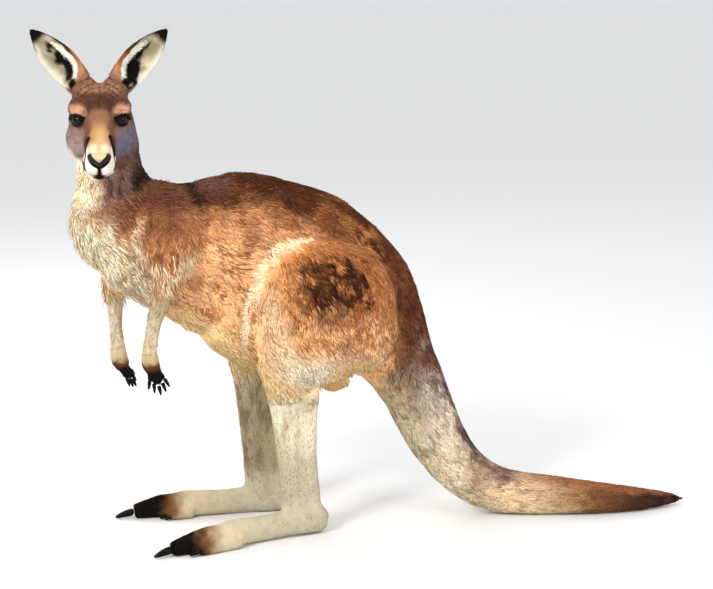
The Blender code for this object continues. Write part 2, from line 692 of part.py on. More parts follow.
def cut_away(flesh, make_cutter, *more):
    """Cut one set of cutters, none of which touch each other, out of the flesh."""
    cutter = bmesh.new()
    make_cutter(cutter, *more)
    cutter = guide("cutter", cutter)
    cut = flesh.modifiers.new("Part", "BOOLEAN")
    cut.operation = "DIFFERENCE"
    cut.solver = "EXACT"
    cut.object = cutter
    stamp(flesh)
    bpy.data.objects.remove(cutter, do_unlink=True)


def part_flesh(flesh, finishes):
    """Cut the flesh and turn each body that is left into its own named piece."""
    for make_cutter in (setting_cuts, cross_cuts, muscle_cuts, limb_cuts):
        cut_away(flesh, make_cutter)
    for turn in range(5):
        cut_away(flesh, claw_cuts, turn)
    whole = bmesh.new()
    whole.from_mesh(flesh.data)
    bmesh.ops.triangulate(whole, faces=whole.faces)
    bpy.data.objects.remove(flesh, do_unlink=True)
    seeds = piece_seeds()
    bodies = []
    for faces in islands(whole):
        middle = sum((f.calc_center_median() * f.calc_area() for f in faces), Vector())
        area = sum(f.calc_area() for f in faces)
        bodies.append((area, middle / area, faces))
    bodies.sort(key=lambda body: -body[0])
    for area, middle, faces in bodies[:len(seeds)]:
        name = min(seeds, key=lambda key: (seeds[key] - middle).length)
        del seeds[name]
        piece = bmesh.new()
        known = {}
        for face in faces:
            corners = []
            for vertex in face.verts:
                if vertex not in known:
                    known[vertex] = piece.verts.new(vertex.co)
                corners.append(known[vertex])
            piece.faces.new(corners)
        solid(name, piece, finish_of(name, finishes))
    whole.free()
    return len(bodies)


# ---------------------------------------------------------------- colours
def make_finishes():
    """The coat's main colours and the bare parts."""
    return {
        "rust": skin_colour("rust_coat", (0.50, 0.22, 0.09), 0.85),
        "brown": skin_colour("brown_coat", (0.24, 0.13, 0.09), 0.85),
        "cream": skin_colour("cream_coat", (0.72, 0.62, 0.44), 0.85),
        "grey": skin_colour("grey_coat", (0.30, 0.24, 0.22), 0.85),
        "dark": skin_colour("dark_paw", (0.05, 0.035, 0.03), 0.75),
        "black": skin_colour("claw_horn", (0.012, 0.010, 0.010), 0.35),
        "nose": skin_colour("nose_skin", (0.010, 0.009, 0.010), 0.45),
        "eye": skin_colour("eye_dark", (0.008, 0.006, 0.005), 0.06),
    }


def finish_of(name, finishes):
    """The colour that most of a piece shows."""
    for words, key in (
            (("toe", "hand"), "dark"), (("forearm", "shank", "foot", "jaw"), "cream"),
            (("tail_root", "neck", "head"), "grey"), (("tail_end",), "brown")):
        if any(word in name for word in words):
            return finishes[key]
    return finishes["rust"]


# ---------------------------------------------------------------- the animal
def centre_on_floor():
    """Put the origin under the middle of the whole animal's box."""
    things = [thing for thing in bpy.data.objects if not thing.hide_render]
    points = [vertex.co for thing in things for vertex in thing.data.vertices]
    low = [min(p[k] for p in points) for k in range(3)]
    high = [max(p[k] for p in points) for k in range(3)]
    move = Matrix.Translation((-(low[0] + high[0]) / 2, -(low[1] + high[1]) / 2, -low[2]))
    for thing in things:
        thing.data.transform(move)
    return move.to_translation()


def build():
    """Make every piece of the animal."""
    clear_scene()
    finishes = make_finishes()
    count = part_flesh(whole_flesh(), finishes)
    round_piece("nose", head_place(*NOSE_AT), NOSE_RADII, finishes["nose"], (10, 7))
    for side in (1, -1):
        name = SIDE_NAME[side]
        forward, sideways, up = EYE_AT
        round_piece(f"eye_{name}", head_place(forward, side * sideways, up), (EYE_RADIUS,) * 3,
                    finishes["eye"], (12, 8))
        ear(side, finishes["rust"])
    for name, root, way, curl, length, radius in claw_specs():
        claw(name, root, way, curl, length, radius, finishes["black"])
    move = centre_on_floor()
    print(f"{count} bodies of flesh, {len(bpy.data.objects)} pieces, moved by "
          f"{move.x:.4f} {move.y:.4f} {move.z:.4f}")


build()
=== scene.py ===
# %% [markdown]
# # A red kangaroo, standing
#
# The solids give the animal's true outline, out to the tips of its coat.
# This lesson dresses them: one skin over all the flesh, eyes with lids, a
# nose, ears, claws, and a coat of real mesh tufts that lies the way a
# kangaroo's hair lies. Everything is placed from the solids themselves, so
# nothing has to be fitted by eye afterwards.

# %% Load the solids
import math

import bpy
import numpy as np
from mathutils import Matrix, Vector
from mathutils.bvhtree import BVHTree


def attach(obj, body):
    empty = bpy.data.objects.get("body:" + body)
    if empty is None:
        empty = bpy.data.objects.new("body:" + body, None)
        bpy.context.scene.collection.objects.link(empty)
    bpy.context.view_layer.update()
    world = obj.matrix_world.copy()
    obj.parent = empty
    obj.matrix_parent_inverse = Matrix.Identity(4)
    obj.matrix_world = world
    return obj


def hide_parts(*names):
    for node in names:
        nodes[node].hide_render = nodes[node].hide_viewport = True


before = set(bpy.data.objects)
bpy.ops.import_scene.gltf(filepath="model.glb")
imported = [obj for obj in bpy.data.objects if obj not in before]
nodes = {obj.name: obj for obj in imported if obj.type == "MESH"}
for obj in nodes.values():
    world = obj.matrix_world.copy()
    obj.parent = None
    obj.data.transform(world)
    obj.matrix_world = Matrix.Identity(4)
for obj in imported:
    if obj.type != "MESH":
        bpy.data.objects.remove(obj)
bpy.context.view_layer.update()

# %% [markdown]
# ## Where things are
#
# The head has its own directions: forward along the muzzle, sideways to the
# animal's left, and up. Eyes, lids, lips and ears are all easier to describe
# in them than in the room's. The body is described along a few lines: the
# spine from chest to tail tip, the neck, the arms and the legs. The same
# lines steer the lie of the hair and the unwrapping of the coat.

# %% The head's own directions
PLACE = np.array((-.0106, -.1686, 0.0))
HEAD = (Matrix.Translation(Vector(PLACE) + Vector((.053, -.535, 1.0735)))
        @ Matrix.Rotation(math.radians(76.6), 4, "Z")
        @ Matrix.Rotation(math.radians(24.3), 4, "X"))
EYE_AT = (.0290, .0480, .0190)
EYE_RADIUS = .0190
EAR_AT = (-.0555, .0535, .0770)
HEAD_TURN = np.array(HEAD.to_3x3())
HEAD_SPOT = np.array(HEAD.translation)


def along_head(forward, sideways, up):
    return np.array(HEAD.to_3x3() @ Vector((sideways, -forward, up)))


def in_head(forward, sideways, up):
    return HEAD_SPOT + along_head(forward, sideways, up)


def head_view(points):
    """Forward, sideways and up of points, measured in the head."""
    local = (points - HEAD_SPOT) @ HEAD_TURN
    return np.stack((-local[:, 1], local[:, 0], local[:, 2]), 1)


def turned_out(local):
    """Directions in the head's own terms, turned into the room's."""
    return (local[:, 0:1] * along_head(1, 0, 0) + local[:, 1:2] * along_head(0, 1, 0)
            + local[:, 2:3] * along_head(0, 0, 1))


print("eyes at", in_head(*EYE_AT).round(3), "and", in_head(EYE_AT[0], -EYE_AT[1], EYE_AT[2]).round(3))

# %% Lines along the body
TRUNK = np.array((
    (0, -.545, .820, .052, .072), (0, -.470, .797, .104, .140), (0, -.365, .750, .113, .165),
    (0, -.265, .724, .131, .204), (0, -.180, .706, .146, .228), (0, -.090, .664, .154, .246),
    (0, 0, .625, .152, .248), (0, .080, .590, .146, .222), (0, .150, .548, .134, .186),
    (0, .208, .489, .116, .138), (0, .255, .419, .098, .104), (.002, .297, .345, .084, .091),
    (.008, .331, .267, .076, .085), (.025, .363, .197, .071, .079), (.050, .413, .125, .066, .071),
    (.075, .475, .079, .061, .066), (.100, .545, .059, .056, .061), (.138, .655, .051, .049, .0535),
    (.168, .765, .0425, .041, .0445), (.176, .860, .0335, .032, .0355), (.168, .940, .0245, .022, .0265),
    (.152, 1.000, .016, .012, .0165), (.141, 1.034, .0105, .003, .004)))
NECK = np.array(((.004, -.522, 1.115), (.004, -.515, 1.085), (.005, -.508, 1.000), (.002, -.505, .955),
                 (0, -.497, .910), (0, -.484, .860), (0, -.466, .800)))
ARM_LEFT = np.array(((.120, -.377, .835), (.138, -.387, .710), (.148, -.408, .645), (.147, -.433, .560),
                     (.143, -.439, .480), (.141, -.420, .400)))
ARM_RIGHT = np.array(((-.118, -.396, .830), (-.137, -.440, .700), (-.142, -.468, .615), (-.133, -.466, .525),
                      (-.124, -.460, .440), (-.120, -.440, .370)))
LEG_LEFT = np.array(((.112, .062, .748), (.136, .022, .612), (.146, -.055, .472), (.126, -.088, .370),
                     (.113, -.069, .120), (.111, -.030, .040), (.160, -.200, .036), (.215, -.420, .020)))
LEG_RIGHT = np.array(((-.112, .062, .748), (-.136, .022, .612), (-.146, -.055, .472), (-.126, -.088, .370),
                      (-.117, -.080, .120), (-.119, -.060, .040), (-.130, -.230, .036), (-.146, -.440, .020)))
THIGH_EDGE = np.array(((.114, -.162, .455), (.128, -.182, .520), (.136, -.179, .560), (.144, -.170, .622),
                       (.153, -.154, .686),
                       (.148, -.105, .741), (.143, -.052, .763), (.138, .000, .770)))
# The thigh's edge is followed as seen from the side, so width counts for less.
FROM_THE_SIDE = np.array((.4, 1, 1))


def follow(points, path):
    """Nearest place on a path: its distance away, how far along, its foot and the path's direction."""
    start, run = path[:-1, :3], np.diff(path[:, :3], axis=0)
    length = np.linalg.norm(run, axis=1)
    passed = np.concatenate(((0,), np.cumsum(length)))
    heading = run / length[:, None]
    knots = np.vstack((heading[:1], heading[:-1] + heading[1:], heading[-1:]))
    best = np.full(len(points), 1e9)
    part = np.zeros(len(points), int)
    share = np.zeros(len(points))
    for k in range(len(run)):
        t = np.clip(((points - start[k]) @ run[k]) / length[k] ** 2, 0, 1)
        away = np.linalg.norm(points - start[k] - t[:, None] * run[k], axis=1)
        nearer = away < best
        best[nearer], part[nearer], share[nearer] = away[nearer], k, t[nearer]
    foot = start[part] + share[:, None] * run[part]
    lean = knots[part] * (1 - share[:, None]) + knots[part + 1] * share[:, None]
    lean /= np.linalg.norm(lean, axis=1)[:, None]
    return best, passed[part] + share * length[part], foot, lean


def unit(vectors):
    return vectors / np.maximum(np.linalg.norm(vectors, axis=-1, keepdims=True), 1e-9)


def without(vectors, normal):
    """What is left of vectors when their share along another direction is taken away."""
    return vectors - (vectors * normal).sum(1)[:, None] * normal


def mirrored_to_left(d):
    return np.stack((np.abs(d[:, 0]), d[:, 1], d[:, 2]), 1)


def lengths_of(path):
    return np.linalg.norm(np.diff(path[:, :3], axis=0), axis=1)


print("spine from chest to tail tip:", round(float(lengths_of(TRUNK).sum()), 2), "m")

# %% [markdown]
# ## Helpers for working by hand
#
# Each operator acts on whatever is selected, so a piece starts by clearing
# the selection. Copies of the solids are merged first, because a loaded
# solid is a heap of loose triangles and modifiers would tear it.

# %% Selecting, copying and reading meshes
def only(piece):
    bpy.ops.object.select_all(action="DESELECT")
    piece.select_set(True)
    bpy.context.view_layer.objects.active = piece
    return piece


def apply_modifier(piece, kind, **settings):
    only(piece)
    modifier = piece.modifiers.new(kind.lower(), kind)
    for name, value in settings.items():
        setattr(modifier, name, value)
    bpy.ops.object.modifier_apply(modifier=modifier.name)


def new_piece(name, mesh):
    piece = bpy.data.objects.new(name, mesh)
    bpy.context.scene.collection.objects.link(piece)
    return piece


def primitive(name, kind, **settings):
    """A basic shape in the middle of the room, the only piece selected."""
    bpy.ops.object.select_all(action="DESELECT")
    getattr(bpy.ops.mesh, "primitive_" + kind + "_add")(location=(0, 0, 0), **settings)
    piece = bpy.context.object
    piece.name = piece.data.name = name
    return piece


def mended(piece, merge=0.0):
    """Merges points closer than the given distance, and turns every face outward."""
    only(piece)
    bpy.ops.object.mode_set(mode="EDIT")
    bpy.ops.mesh.select_all(action="SELECT")
    if merge:
        bpy.ops.mesh.remove_doubles(threshold=merge)
    bpy.ops.mesh.normals_make_consistent(inside=False)
    bpy.ops.object.mode_set(mode="OBJECT")
    return piece


def solid_copy(node, name):
    mesh = nodes[node].data.copy()
    mesh.transform(nodes[node].matrix_world)
    mesh.materials.clear()
    return mended(new_piece(name, mesh), merge=.00002)


def joined(pieces, name):
    only(pieces[0])
    for piece in pieces[1:]:
        piece.select_set(True)
    bpy.ops.object.join()
    pieces[0].name = name
    pieces[0].data.name = name
    return pieces[0]


def read(rows, field, width, kind=float):
    """One field of a mesh's points, edges or faces, as a table with that many columns."""
    values = np.empty(len(rows) * width, kind)
    rows.foreach_get(field, values)
    return values.reshape(-1, width)


def points_of(mesh):
    return read(mesh.vertices, "co", 3)


def normals_of(mesh):
    return read(mesh.vertex_normals, "vector", 3)


def edges_of(mesh):
    return read(mesh.edges, "vertices", 2, np.int32)


def triangles_of(mesh):
    mesh.calc_loop_triangles()
    return read(mesh.loop_triangles, "vertices", 3, np.int32)


def move_to(mesh, spots):
    mesh.vertices.foreach_set("co", np.ascontiguousarray(spots, dtype=np.float32).ravel())
    mesh.update()


def soften(values, pairs, rounds, hold=1.0):
    """Averages values over neighbouring vertices; hold says where, from 0 to 1."""
    count = len(values)
    degree = np.bincount(pairs.ravel(), minlength=count).clip(1)
    hold = np.broadcast_to(np.asarray(hold, float), (count,))
    for _ in range(rounds):
        mean = np.stack([(np.bincount(pairs[:, 0], column[pairs[:, 1]], count)
                          + np.bincount(pairs[:, 1], column[pairs[:, 0]], count)) / degree
                         for column in values.T], 1)
        values = values + .5 * hold[:, None] * (mean - values)
    return values


def ramp(value, low, high):
    """0 below low, 1 above high, and a soft slope between."""
    t = np.clip((value - low) / (high - low), 0, 1)
    return t * t * (3 - 2 * t)


# %% [markdown]
# ## One skin over all the flesh
#
# A real animal has one skin, so no joint between head and neck or thigh and
# trunk may show. It could be one long sculpt, but the solids already hold
# every form. So each solid of flesh is copied, grown by a little over half a
# millimetre to close the thin cuts, joined, and remeshed into one closed
# surface. The head, hands and feet are then subdivided, because lids, lips
# and toes need more points than a flank does.

# %% Join and remesh the flesh
FLESH = ["head", "neck", "chest", "abdomen", "pelvis", "scrotum", "tail_root", "tail_upper", "tail_middle",
         "tail_end"]
LIMB = ("upper_arm_", "forearm_", "hand_", "thigh_", "shank_", "foot_", "toes_")
for side in ("left", "right"):
    FLESH += [part + side for part in LIMB]
FORMS = FLESH + ["eye_left", "eye_right", "nose"]
GROWTH, VOXEL = .0006, .0060

copies = [solid_copy(node, "flesh_" + node) for node in FORMS]
parts, faces_of_parts, part_of_face = [], [], []
offset = 0
for number, piece in enumerate(copies):
    corners = triangles_of(piece.data)
    parts.append(points_of(piece.data))
    faces_of_parts.append(corners + offset)
    part_of_face += [number] * len(corners)
    offset += len(parts[-1])
flesh_tree = BVHTree.FromPolygons(np.vstack(parts).tolist(), np.vstack(faces_of_parts).tolist())
part_of_face = np.array(part_of_face)

for piece in copies:
    apply_modifier(piece, "DISPLACE", strength=GROWTH, mid_level=0.0)
skin = joined(copies, "skin")
apply_modifier(skin, "REMESH", mode="VOXEL", voxel_size=VOXEL, use_smooth_shade=True)
print("skin after the remesh:", len(skin.data.vertices), "points")

# %% More points where the detail is
def refine(piece, chosen):
    """Subdivides the faces whose middle is chosen."""
    wanted = chosen(read(piece.data.polygons, "center", 3))
    only(piece)
    piece.data.polygons.foreach_set("select", wanted)
    bpy.ops.object.mode_set(mode="EDIT")
    bpy.ops.mesh.select_mode(type="FACE")
    bpy.ops.object.mode_set(mode="OBJECT")
    piece.data.polygons.foreach_set("select", wanted)
    bpy.ops.object.mode_set(mode="EDIT")
    bpy.ops.mesh.subdivide(number_cuts=1)
    bpy.ops.object.mode_set(mode="OBJECT")


def on_head(spots):
    f, s, u = head_view(spots).T
    return (f > -.09) & (np.abs(s) < .12) & (u > -.10) & (u < .12)


def on_face(spots):
    f, s, u = head_view(spots).T
    return (f > -.01) & (np.abs(s) < .09) & (u > -.085) & (u < .09)


def on_paws(spots):
    d = spots - PLACE
    return ((d[:, 1] < -.34) & (d[:, 2] < .53)) | ((d[:, 2] < .09) & (d[:, 1] < -.20))


refine(skin, lambda spots: on_head(spots) | on_paws(spots))
refine(skin, on_face)
print("skin with its finer head and paws:", len(skin.data.vertices), "points")

# %% [markdown]
# ## Which part each point belongs to
#
# Hair is long on the chest and short on the shin, but there is no line
# between them. Each point takes the name of the solid nearest to it, as a 1
# among 0s, and those numbers are then averaged over the surface, so that one
# part's coat passes into the next over a few centimetres.

# %% Part weights
def nearest_part(spots):
    found = [flesh_tree.find_nearest(spot)[2] for spot in spots.tolist()]
    return part_of_face[np.array(found)]


spots = points_of(skin.data)
pairs = edges_of(skin.data)
labels = nearest_part(spots)
labels[labels >= len(FLESH)] = 0  # Eyes and nose count as head.
weights = np.zeros((len(spots), len(FLESH)))
weights[np.arange(len(spots)), labels] = 1
weights = soften(weights, pairs, 14)
SLOT_OF = {name: index for index, name in enumerate(FLESH)}
TAIL = ("tail_root", "tail_upper", "tail_middle", "tail_end")


def share_of(table, *names):
    """The summed share of the named parts at each point."""
    total = np.zeros(len(table))
    for name in names:
        for part in ([name] if name in SLOT_OF else [name + "_left", name + "_right"]):
            total = total + table[:, SLOT_OF[part]]
    return total


BROAD = ("thigh", "upper_arm", "shank", "forearm", "chest", "pelvis")
broad_shares = soften(np.stack([share_of(weights, name) for name in BROAD], 1), pairs, 80)
weights = np.hstack((weights, broad_shares))
print("largest part by points:", FLESH[int(np.bincount(labels).argmax())])

# %% [markdown]
# ## Coat of each part
#
# A red kangaroo's coat is short and dense, longest on the chest and trunk,
# and close on the face, shins and feet. For each part the table gives the
# tuft's length and width, how far it lifts off the skin in degrees, and how
# deep the skin lies under the outline of the solid, all from one place, so
# the coat always fills exactly the space that the skin has left.

# %% Coat table
COAT = {  # length, width, lift in degrees, depth of skin: metres
    "head": (.0085, .0019, 11, .0020), "neck": (.020, .0036, 10, .0045), "chest": (.026, .0040, 11, .0055),
    "abdomen": (.025, .0042, 7, .0042), "pelvis": (.025, .0042, 7, .0042),
    "scrotum": (.007, .0020, 10, .0015), "tail_root": (.020, .0040, 8, .0040),
    "tail_upper": (.018, .0040, 8, .0035), "tail_middle": (.016, .0036, 8, .0030),
    "tail_end": (.015, .0032, 8, .0020), "upper_arm": (.018, .0034, 10, .0040),
    "forearm": (.011, .0026, 8, .0020), "hand": (.006, .0017, 10, .0008), "thigh": (.022, .0040, 8, .0044),
    "shank": (.011, .0028, 8, .0020), "foot": (.009, .0024, 8, .0018), "toes": (.007, .0019, 8, .0010)}
COAT_ROWS = np.array([COAT[name.replace("_left", "").replace("_right", "")] for name in FLESH])


def coat_size(table):
    """Length, width, lift and depth of the coat at points with these part weights."""
    return table[:, :len(FLESH)] @ COAT_ROWS


def parts_of(table):
    """The share of each part at each point. The large parts fade out over a wider band."""
    part = {name: share_of(table, name) for name in COAT}
    part.update(zip(BROAD, table[:, len(FLESH):].T))
    return part


def summed(part, *names):
    return sum(part[name] for name in names)


ABOVE_FLOOR = .0006
smooth = soften(spots, pairs, 5)
smooth = soften(smooth, pairs, 8, on_face(spots) * 1.0)
part = parts_of(weights)
trunk_join = ramp(np.minimum(part["upper_arm"], part["chest"]), .03, .14)
trunk_join = np.maximum(trunk_join, ramp(np.minimum(share_of(weights, "chest"), part["abdomen"]), .02, .20))
shoulder_cap = ramp(part["upper_arm"], .10, .40) * ramp((smooth - PLACE)[:, 2], .755, .815)
trunk_join = np.maximum(trunk_join, shoulder_cap)
neck_join = ramp(np.minimum(part["head"], part["neck"]), .01, .12)
smooth = soften(smooth, pairs, 90, trunk_join)
smooth = soften(smooth, pairs, 30, neck_join)
move_to(skin.data, smooth)
outward = normals_of(skin.data)
depth = weights[:, :len(FLESH)] @ COAT_ROWS[:, 3]
from_ear = [np.linalg.norm(spots - in_head(EAR_AT[0], side * EAR_AT[1], EAR_AT[2]), axis=1)
            for side in (1, -1)]
depth = depth * ramp(np.minimum(*from_ear), .032, .055)
lowered = smooth - outward * depth[:, None]
lowered[:, 2] = np.maximum(lowered[:, 2], ABOVE_FLOOR)
move_to(skin.data, lowered)
print("skin lies", (depth.min() * 1000).round(1), "to", (depth.max() * 1000).round(1),
      "mm inside the outline")

# %% [markdown]
# ## The face
#
# The skin of a face is sculpted after the remesh, because the remesh would
# wipe out anything narrower than its grid. The lids are a collar round each
# eye: the skin is drawn into a bowl behind the eyeball inside the opening,
# and lies just over the ball around it. The lips, the cleft under the nose,
# the mouth line and the wrinkles of the brow are grooves and swellings along
# short lines on the head.

# %% Eye openings
EYE_OUT = np.array((.64, .64, .42))
OPEN_SIDE, OPEN_UP, OPEN_DOWN = 60.0, 30.0, 48.0
LID_TILT = math.radians(20)


def eye_axes(side):
    """The eye's centre and its own out, side and up directions, in the head's terms."""
    centre = np.array((EYE_AT[0], side * EYE_AT[1], EYE_AT[2]))
    out = unit(EYE_OUT * (1, side, 1))
    level = unit(np.cross((0, 0, 1.0), out)) * side
    rise = np.cross(out, level) * side
    across = level * math.cos(LID_TILT) - rise * math.sin(LID_TILT)
    return centre, out, across, np.cross(out, across) * side


def eye_angles(local, side):
    """How far round the eyeball a direction lies, in degrees sideways and up, and its distance."""
    centre, out, across, up = eye_axes(side)
    reach = local - centre
    away = np.linalg.norm(reach, axis=1)
    ray = reach / np.maximum(away, 1e-9)[:, None]
    turn = np.degrees(np.arccos(np.clip(ray @ out, -1, 1)))
    lean = np.arctan2(ray @ up, ray @ across)
    return turn * np.cos(lean), turn * np.sin(lean), away


def opening(sideways, up):
    """Below 1 inside the eye's opening, 1 on the edge of the lids."""
    tall = np.where(up > 0, OPEN_UP, OPEN_DOWN)
    return np.sqrt((sideways / OPEN_SIDE) ** 2 + (up / tall) ** 2)


local = head_view(lowered)
for side in (1, -1):
    centre = eye_axes(side)[0]
    sideways, up, away = eye_angles(local, side)
    rho = opening(sideways, up)
    near = away < EYE_RADIUS * 2.2
    lid = EYE_RADIUS + .0016 + .0012 * ramp(up, 0, 25)
    inside = np.where(rho < 1, EYE_RADIUS - .0045 * ramp(1.02 - rho, 0, .12) + .0008, lid)
    blend = np.where(near, 1 - ramp(rho, 1.25, 2.1), 0)
    blend = blend * (1 - ramp(away, EYE_RADIUS * 1.25, EYE_RADIUS * 1.9))
    wanted = away * (1 - blend) + inside * blend
    local = centre + (local - centre) * (wanted / np.maximum(away, 1e-9))[:, None]
    sideways, up, away = eye_angles(local, side)
    rho = opening(sideways, up)
    fold = np.exp(-((rho - 1.75) / .16) ** 2) * ramp(up, 5, 25) * (away < EYE_RADIUS * 1.7)
    local = local - unit(local - centre) * (.0016 * fold)[:, None]
face = turned_out(local) + HEAD_SPOT
move_to(skin.data, face)
sideways, up, away = eye_angles(head_view(face), 1)
print("points inside the left eye's opening:", int(((opening(sideways, up) < 1) & (away < .03)).sum()))

# %% Lips, mouth line, cleft and wrinkles
def both_sides(path):
    return [np.array(path), np.array(path) * (1, -1, 1)]


CLEFT = np.array(((.166, 0, -.034), (.165, 0, -.046), (.161, 0, -.060)))
MOUTH = both_sides(((.161, 0, -.061), (.152, .022, -.062), (.138, .034, -.057), (.120, .0385, -.050),
                    (.100, .041, -.045)))
LIP_WEDGE = both_sides(((.098, .0285, .008), (.106, .0350, -.008), (.114, .0390, -.024)))
LIP_EDGE = both_sides(((.102, .027, .010), (.112, .032, -.006), (.122, .0355, -.022), (.132, .0370, -.038),
                       (.144, .0350, -.053)))
BROW_CREASE = np.array(((-.034, 0, .080), (.000, 0, .076), (.038, 0, .063)))
WRINKLES = (both_sides(((-.030, .004, .080), (-.022, .022, .077), (-.012, .038, .070), (-.004, .054, .060)))
            + both_sides(((-.008, .010, .077), (-.004, .026, .072), (.004, .042, .064), (.010, .056, .054)))
            + both_sides(((-.046, .012, .077), (-.036, .034, .072), (-.024, .050, .062))))


def line_mark(local, path, width):
    """1 on a line, fading to 0 at about its width away."""
    return np.exp(-(follow(local, path)[0] / width) ** 2)


def swelling(local, centre, reach):
    """1 at a centre, fading to 0 at about its reach away."""
    return np.exp(-(((local - centre) / reach) ** 2).sum(1))


head_tree = BVHTree.FromPolygons(points_of(skin.data).tolist(), triangles_of(skin.data).tolist())


def laid_on_skin(path):
    """The same line, drawn on the skin."""
    fine_path = np.vstack([np.linspace(a, b, 5)[:-1] for a, b in zip(path[:-1], path[1:])] + [path[-1:]])
    world = [in_head(*spot) for spot in fine_path]
    return head_view(np.array([head_tree.find_nearest(Vector(spot))[0] for spot in world]))


CLEFT = laid_on_skin(CLEFT)
BROW_CREASE = laid_on_skin(BROW_CREASE)
MOUTH, LIP_EDGE, WRINKLES = ([laid_on_skin(path) for path in paths] for paths in (MOUTH, LIP_EDGE, WRINKLES))

local = head_view(points_of(skin.data))
outward = normals_of(skin.data)
head_share = share_of(weights, "head")
push = -.0028 * line_mark(local, CLEFT, .0022)
for path in MOUTH:
    push -= .0026 * line_mark(local, path, .0022)
for path in WRINKLES:
    push -= .0007 * line_mark(local, path, .0022)
push -= .0016 * line_mark(local, BROW_CREASE, .0026)
for side in (1, -1):
    lip = swelling(local, (.148, side * .021, -.046), (.018, .013, .013))
    brow = swelling(local, (.016, side * .050, .048), (.022, .018, .010))
    nostril = swelling(local, (.150, side * .0225, -.017), (.010, .0060, .0065))
    chin = swelling(local, (.140, side * .006, -.074), (.014, .014, .008))
    under_nose = swelling(local, (.152, side * .0185, -.0150), (.012, .0090, .0070))
    push += .0026 * lip + .0018 * brow - .0030 * nostril - .0030 * under_nose + .0010 * chin
sculpted = points_of(skin.data) + outward * (push * ramp(head_share, .2, .6))[:, None]
move_to(skin.data, sculpted)
print("deepest groove in the face:", round(float(-push.min() * 1000), 1), "mm")

# %% [markdown]
# ## Markings
#
# The colours are painted by rule, not from a picture: dark back, salmon
# flanks, cream belly and throat, pale legs with dark toes, and a face with
# pale lips, a dark stripe behind them and dusky cheeks. Two noises break the
# rules up, a soft one for mottling and a stretched one for the dark wavy
# strokes between locks. Skin and tufts ask the same rules for their colour,
# so a gap between tufts never shows.

# %% Noise
def cloud(spots, size, seed):
    """Smooth random numbers from 0 to 1 that change over about the given size."""
    grid = spots / size + seed * 7.31
    cell = np.floor(grid).astype(np.int64)
    t = grid - cell
    t = t * t * (3 - 2 * t)
    total = np.zeros(len(spots))
    for corner in range(8):
        step = np.array((corner & 1, corner >> 1 & 1, corner >> 2 & 1))
        x, y, z = (cell + step).T
        mixed = (x * 73856093) ^ (y * 19349663) ^ (z * 83492791) ^ (seed * 2654435761)
        mixed = ((mixed & 0xFFFFFFFF) ^ ((mixed & 0xFFFFFFFF) >> 13)) * 1274126177 & 0xFFFFFFFF
        value = ((mixed ^ (mixed >> 16)) & 0xFFFFFF) / 0xFFFFFF
        total += value * np.where(step, t, 1 - t).prod(1)
    return total


def mottle(spots, size, seed):
    return (cloud(spots, size, seed) * 4 + cloud(spots, size / 2, seed + 1) * 2
            + cloud(spots, size / 4, seed + 2)) / 7


def sway(spots, size, seed):
    """A slow random direction for each place, each share from -0.5 to 0.5."""
    return np.stack([mottle(spots, size, seed + k) - .5 for k in range(3)], 1)


def blots(spots, size, seed, low, high):
    """Soft-edged blots: 1 where the mottling is above high, 0 where it is below low."""
    return ramp(mottle(spots, size, seed), low, high)


def stroke(spots, size, seed, thin=.10):
    """Thin wavy lines: 1 on a line, 0 between lines."""
    bend = spots + .4 * np.min(size) * sway(spots, .05, seed + 20)
    bend = bend / np.array(size)
    level = cloud(bend, 1.0, seed) * .65 + cloud(bend * 1.9, 1.0, seed + 5) * .35
    return 1 - ramp(np.abs(level - .5), thin * .35, thin)


print("noise over a metre:", cloud(np.linspace((0, 0, 0), (1, 1, 1), 5), .1, 3).round(2))

# %% Colour helpers
def tone(red, green, blue):
    """A colour named by its display values, in the light's own scale."""
    value = np.array((red, green, blue)) / 255
    return np.where(value <= .04045, value / 12.92, ((value + .055) / 1.055) ** 2.4)


def lay(tint, colour, mask):
    """Lays a colour over what is there, as far as the mask says."""
    return tint + (np.asarray(colour) - tint) * mask[:, None]


def plain(count, red, green, blue):
    """One colour for many points."""
    return np.tile(tone(red, green, blue), (count, 1))


class Paint:
    """The colours of many points. A call lays one more colour over them, as far as its mask says."""

    def __init__(self, tint):
        self.tint = tint

    def __call__(self, red, green, blue, mask):
        self.tint = lay(self.tint, tone(red, green, blue), mask)


def patch(spots, centre, reach, edge=.3):
    """1 inside a soft-edged egg, 0 outside."""
    far = np.sqrt((((spots - centre) / reach) ** 2).sum(1))
    return 1 - ramp(far, 1 - edge, 1 + edge)


def height_in_trunk(d):
    """Height in the trunk or tail, from -1 under to 1 on top."""
    along, foot, lean = follow(d, TRUNK)[1:]
    upward = np.stack((np.zeros(len(d)), -lean[:, 2], lean[:, 1]), 1)
    knots = np.concatenate(((0,), np.cumsum(lengths_of(TRUNK))))
    half = np.interp(along, knots, TRUNK[:, 4])
    return ((d - foot) * unit(upward)).sum(1) / half


print("cream in the light's scale:", tone(244, 235, 208).round(3))

# %% The face's colours
EAR_ROOT = (148, 106, 82)


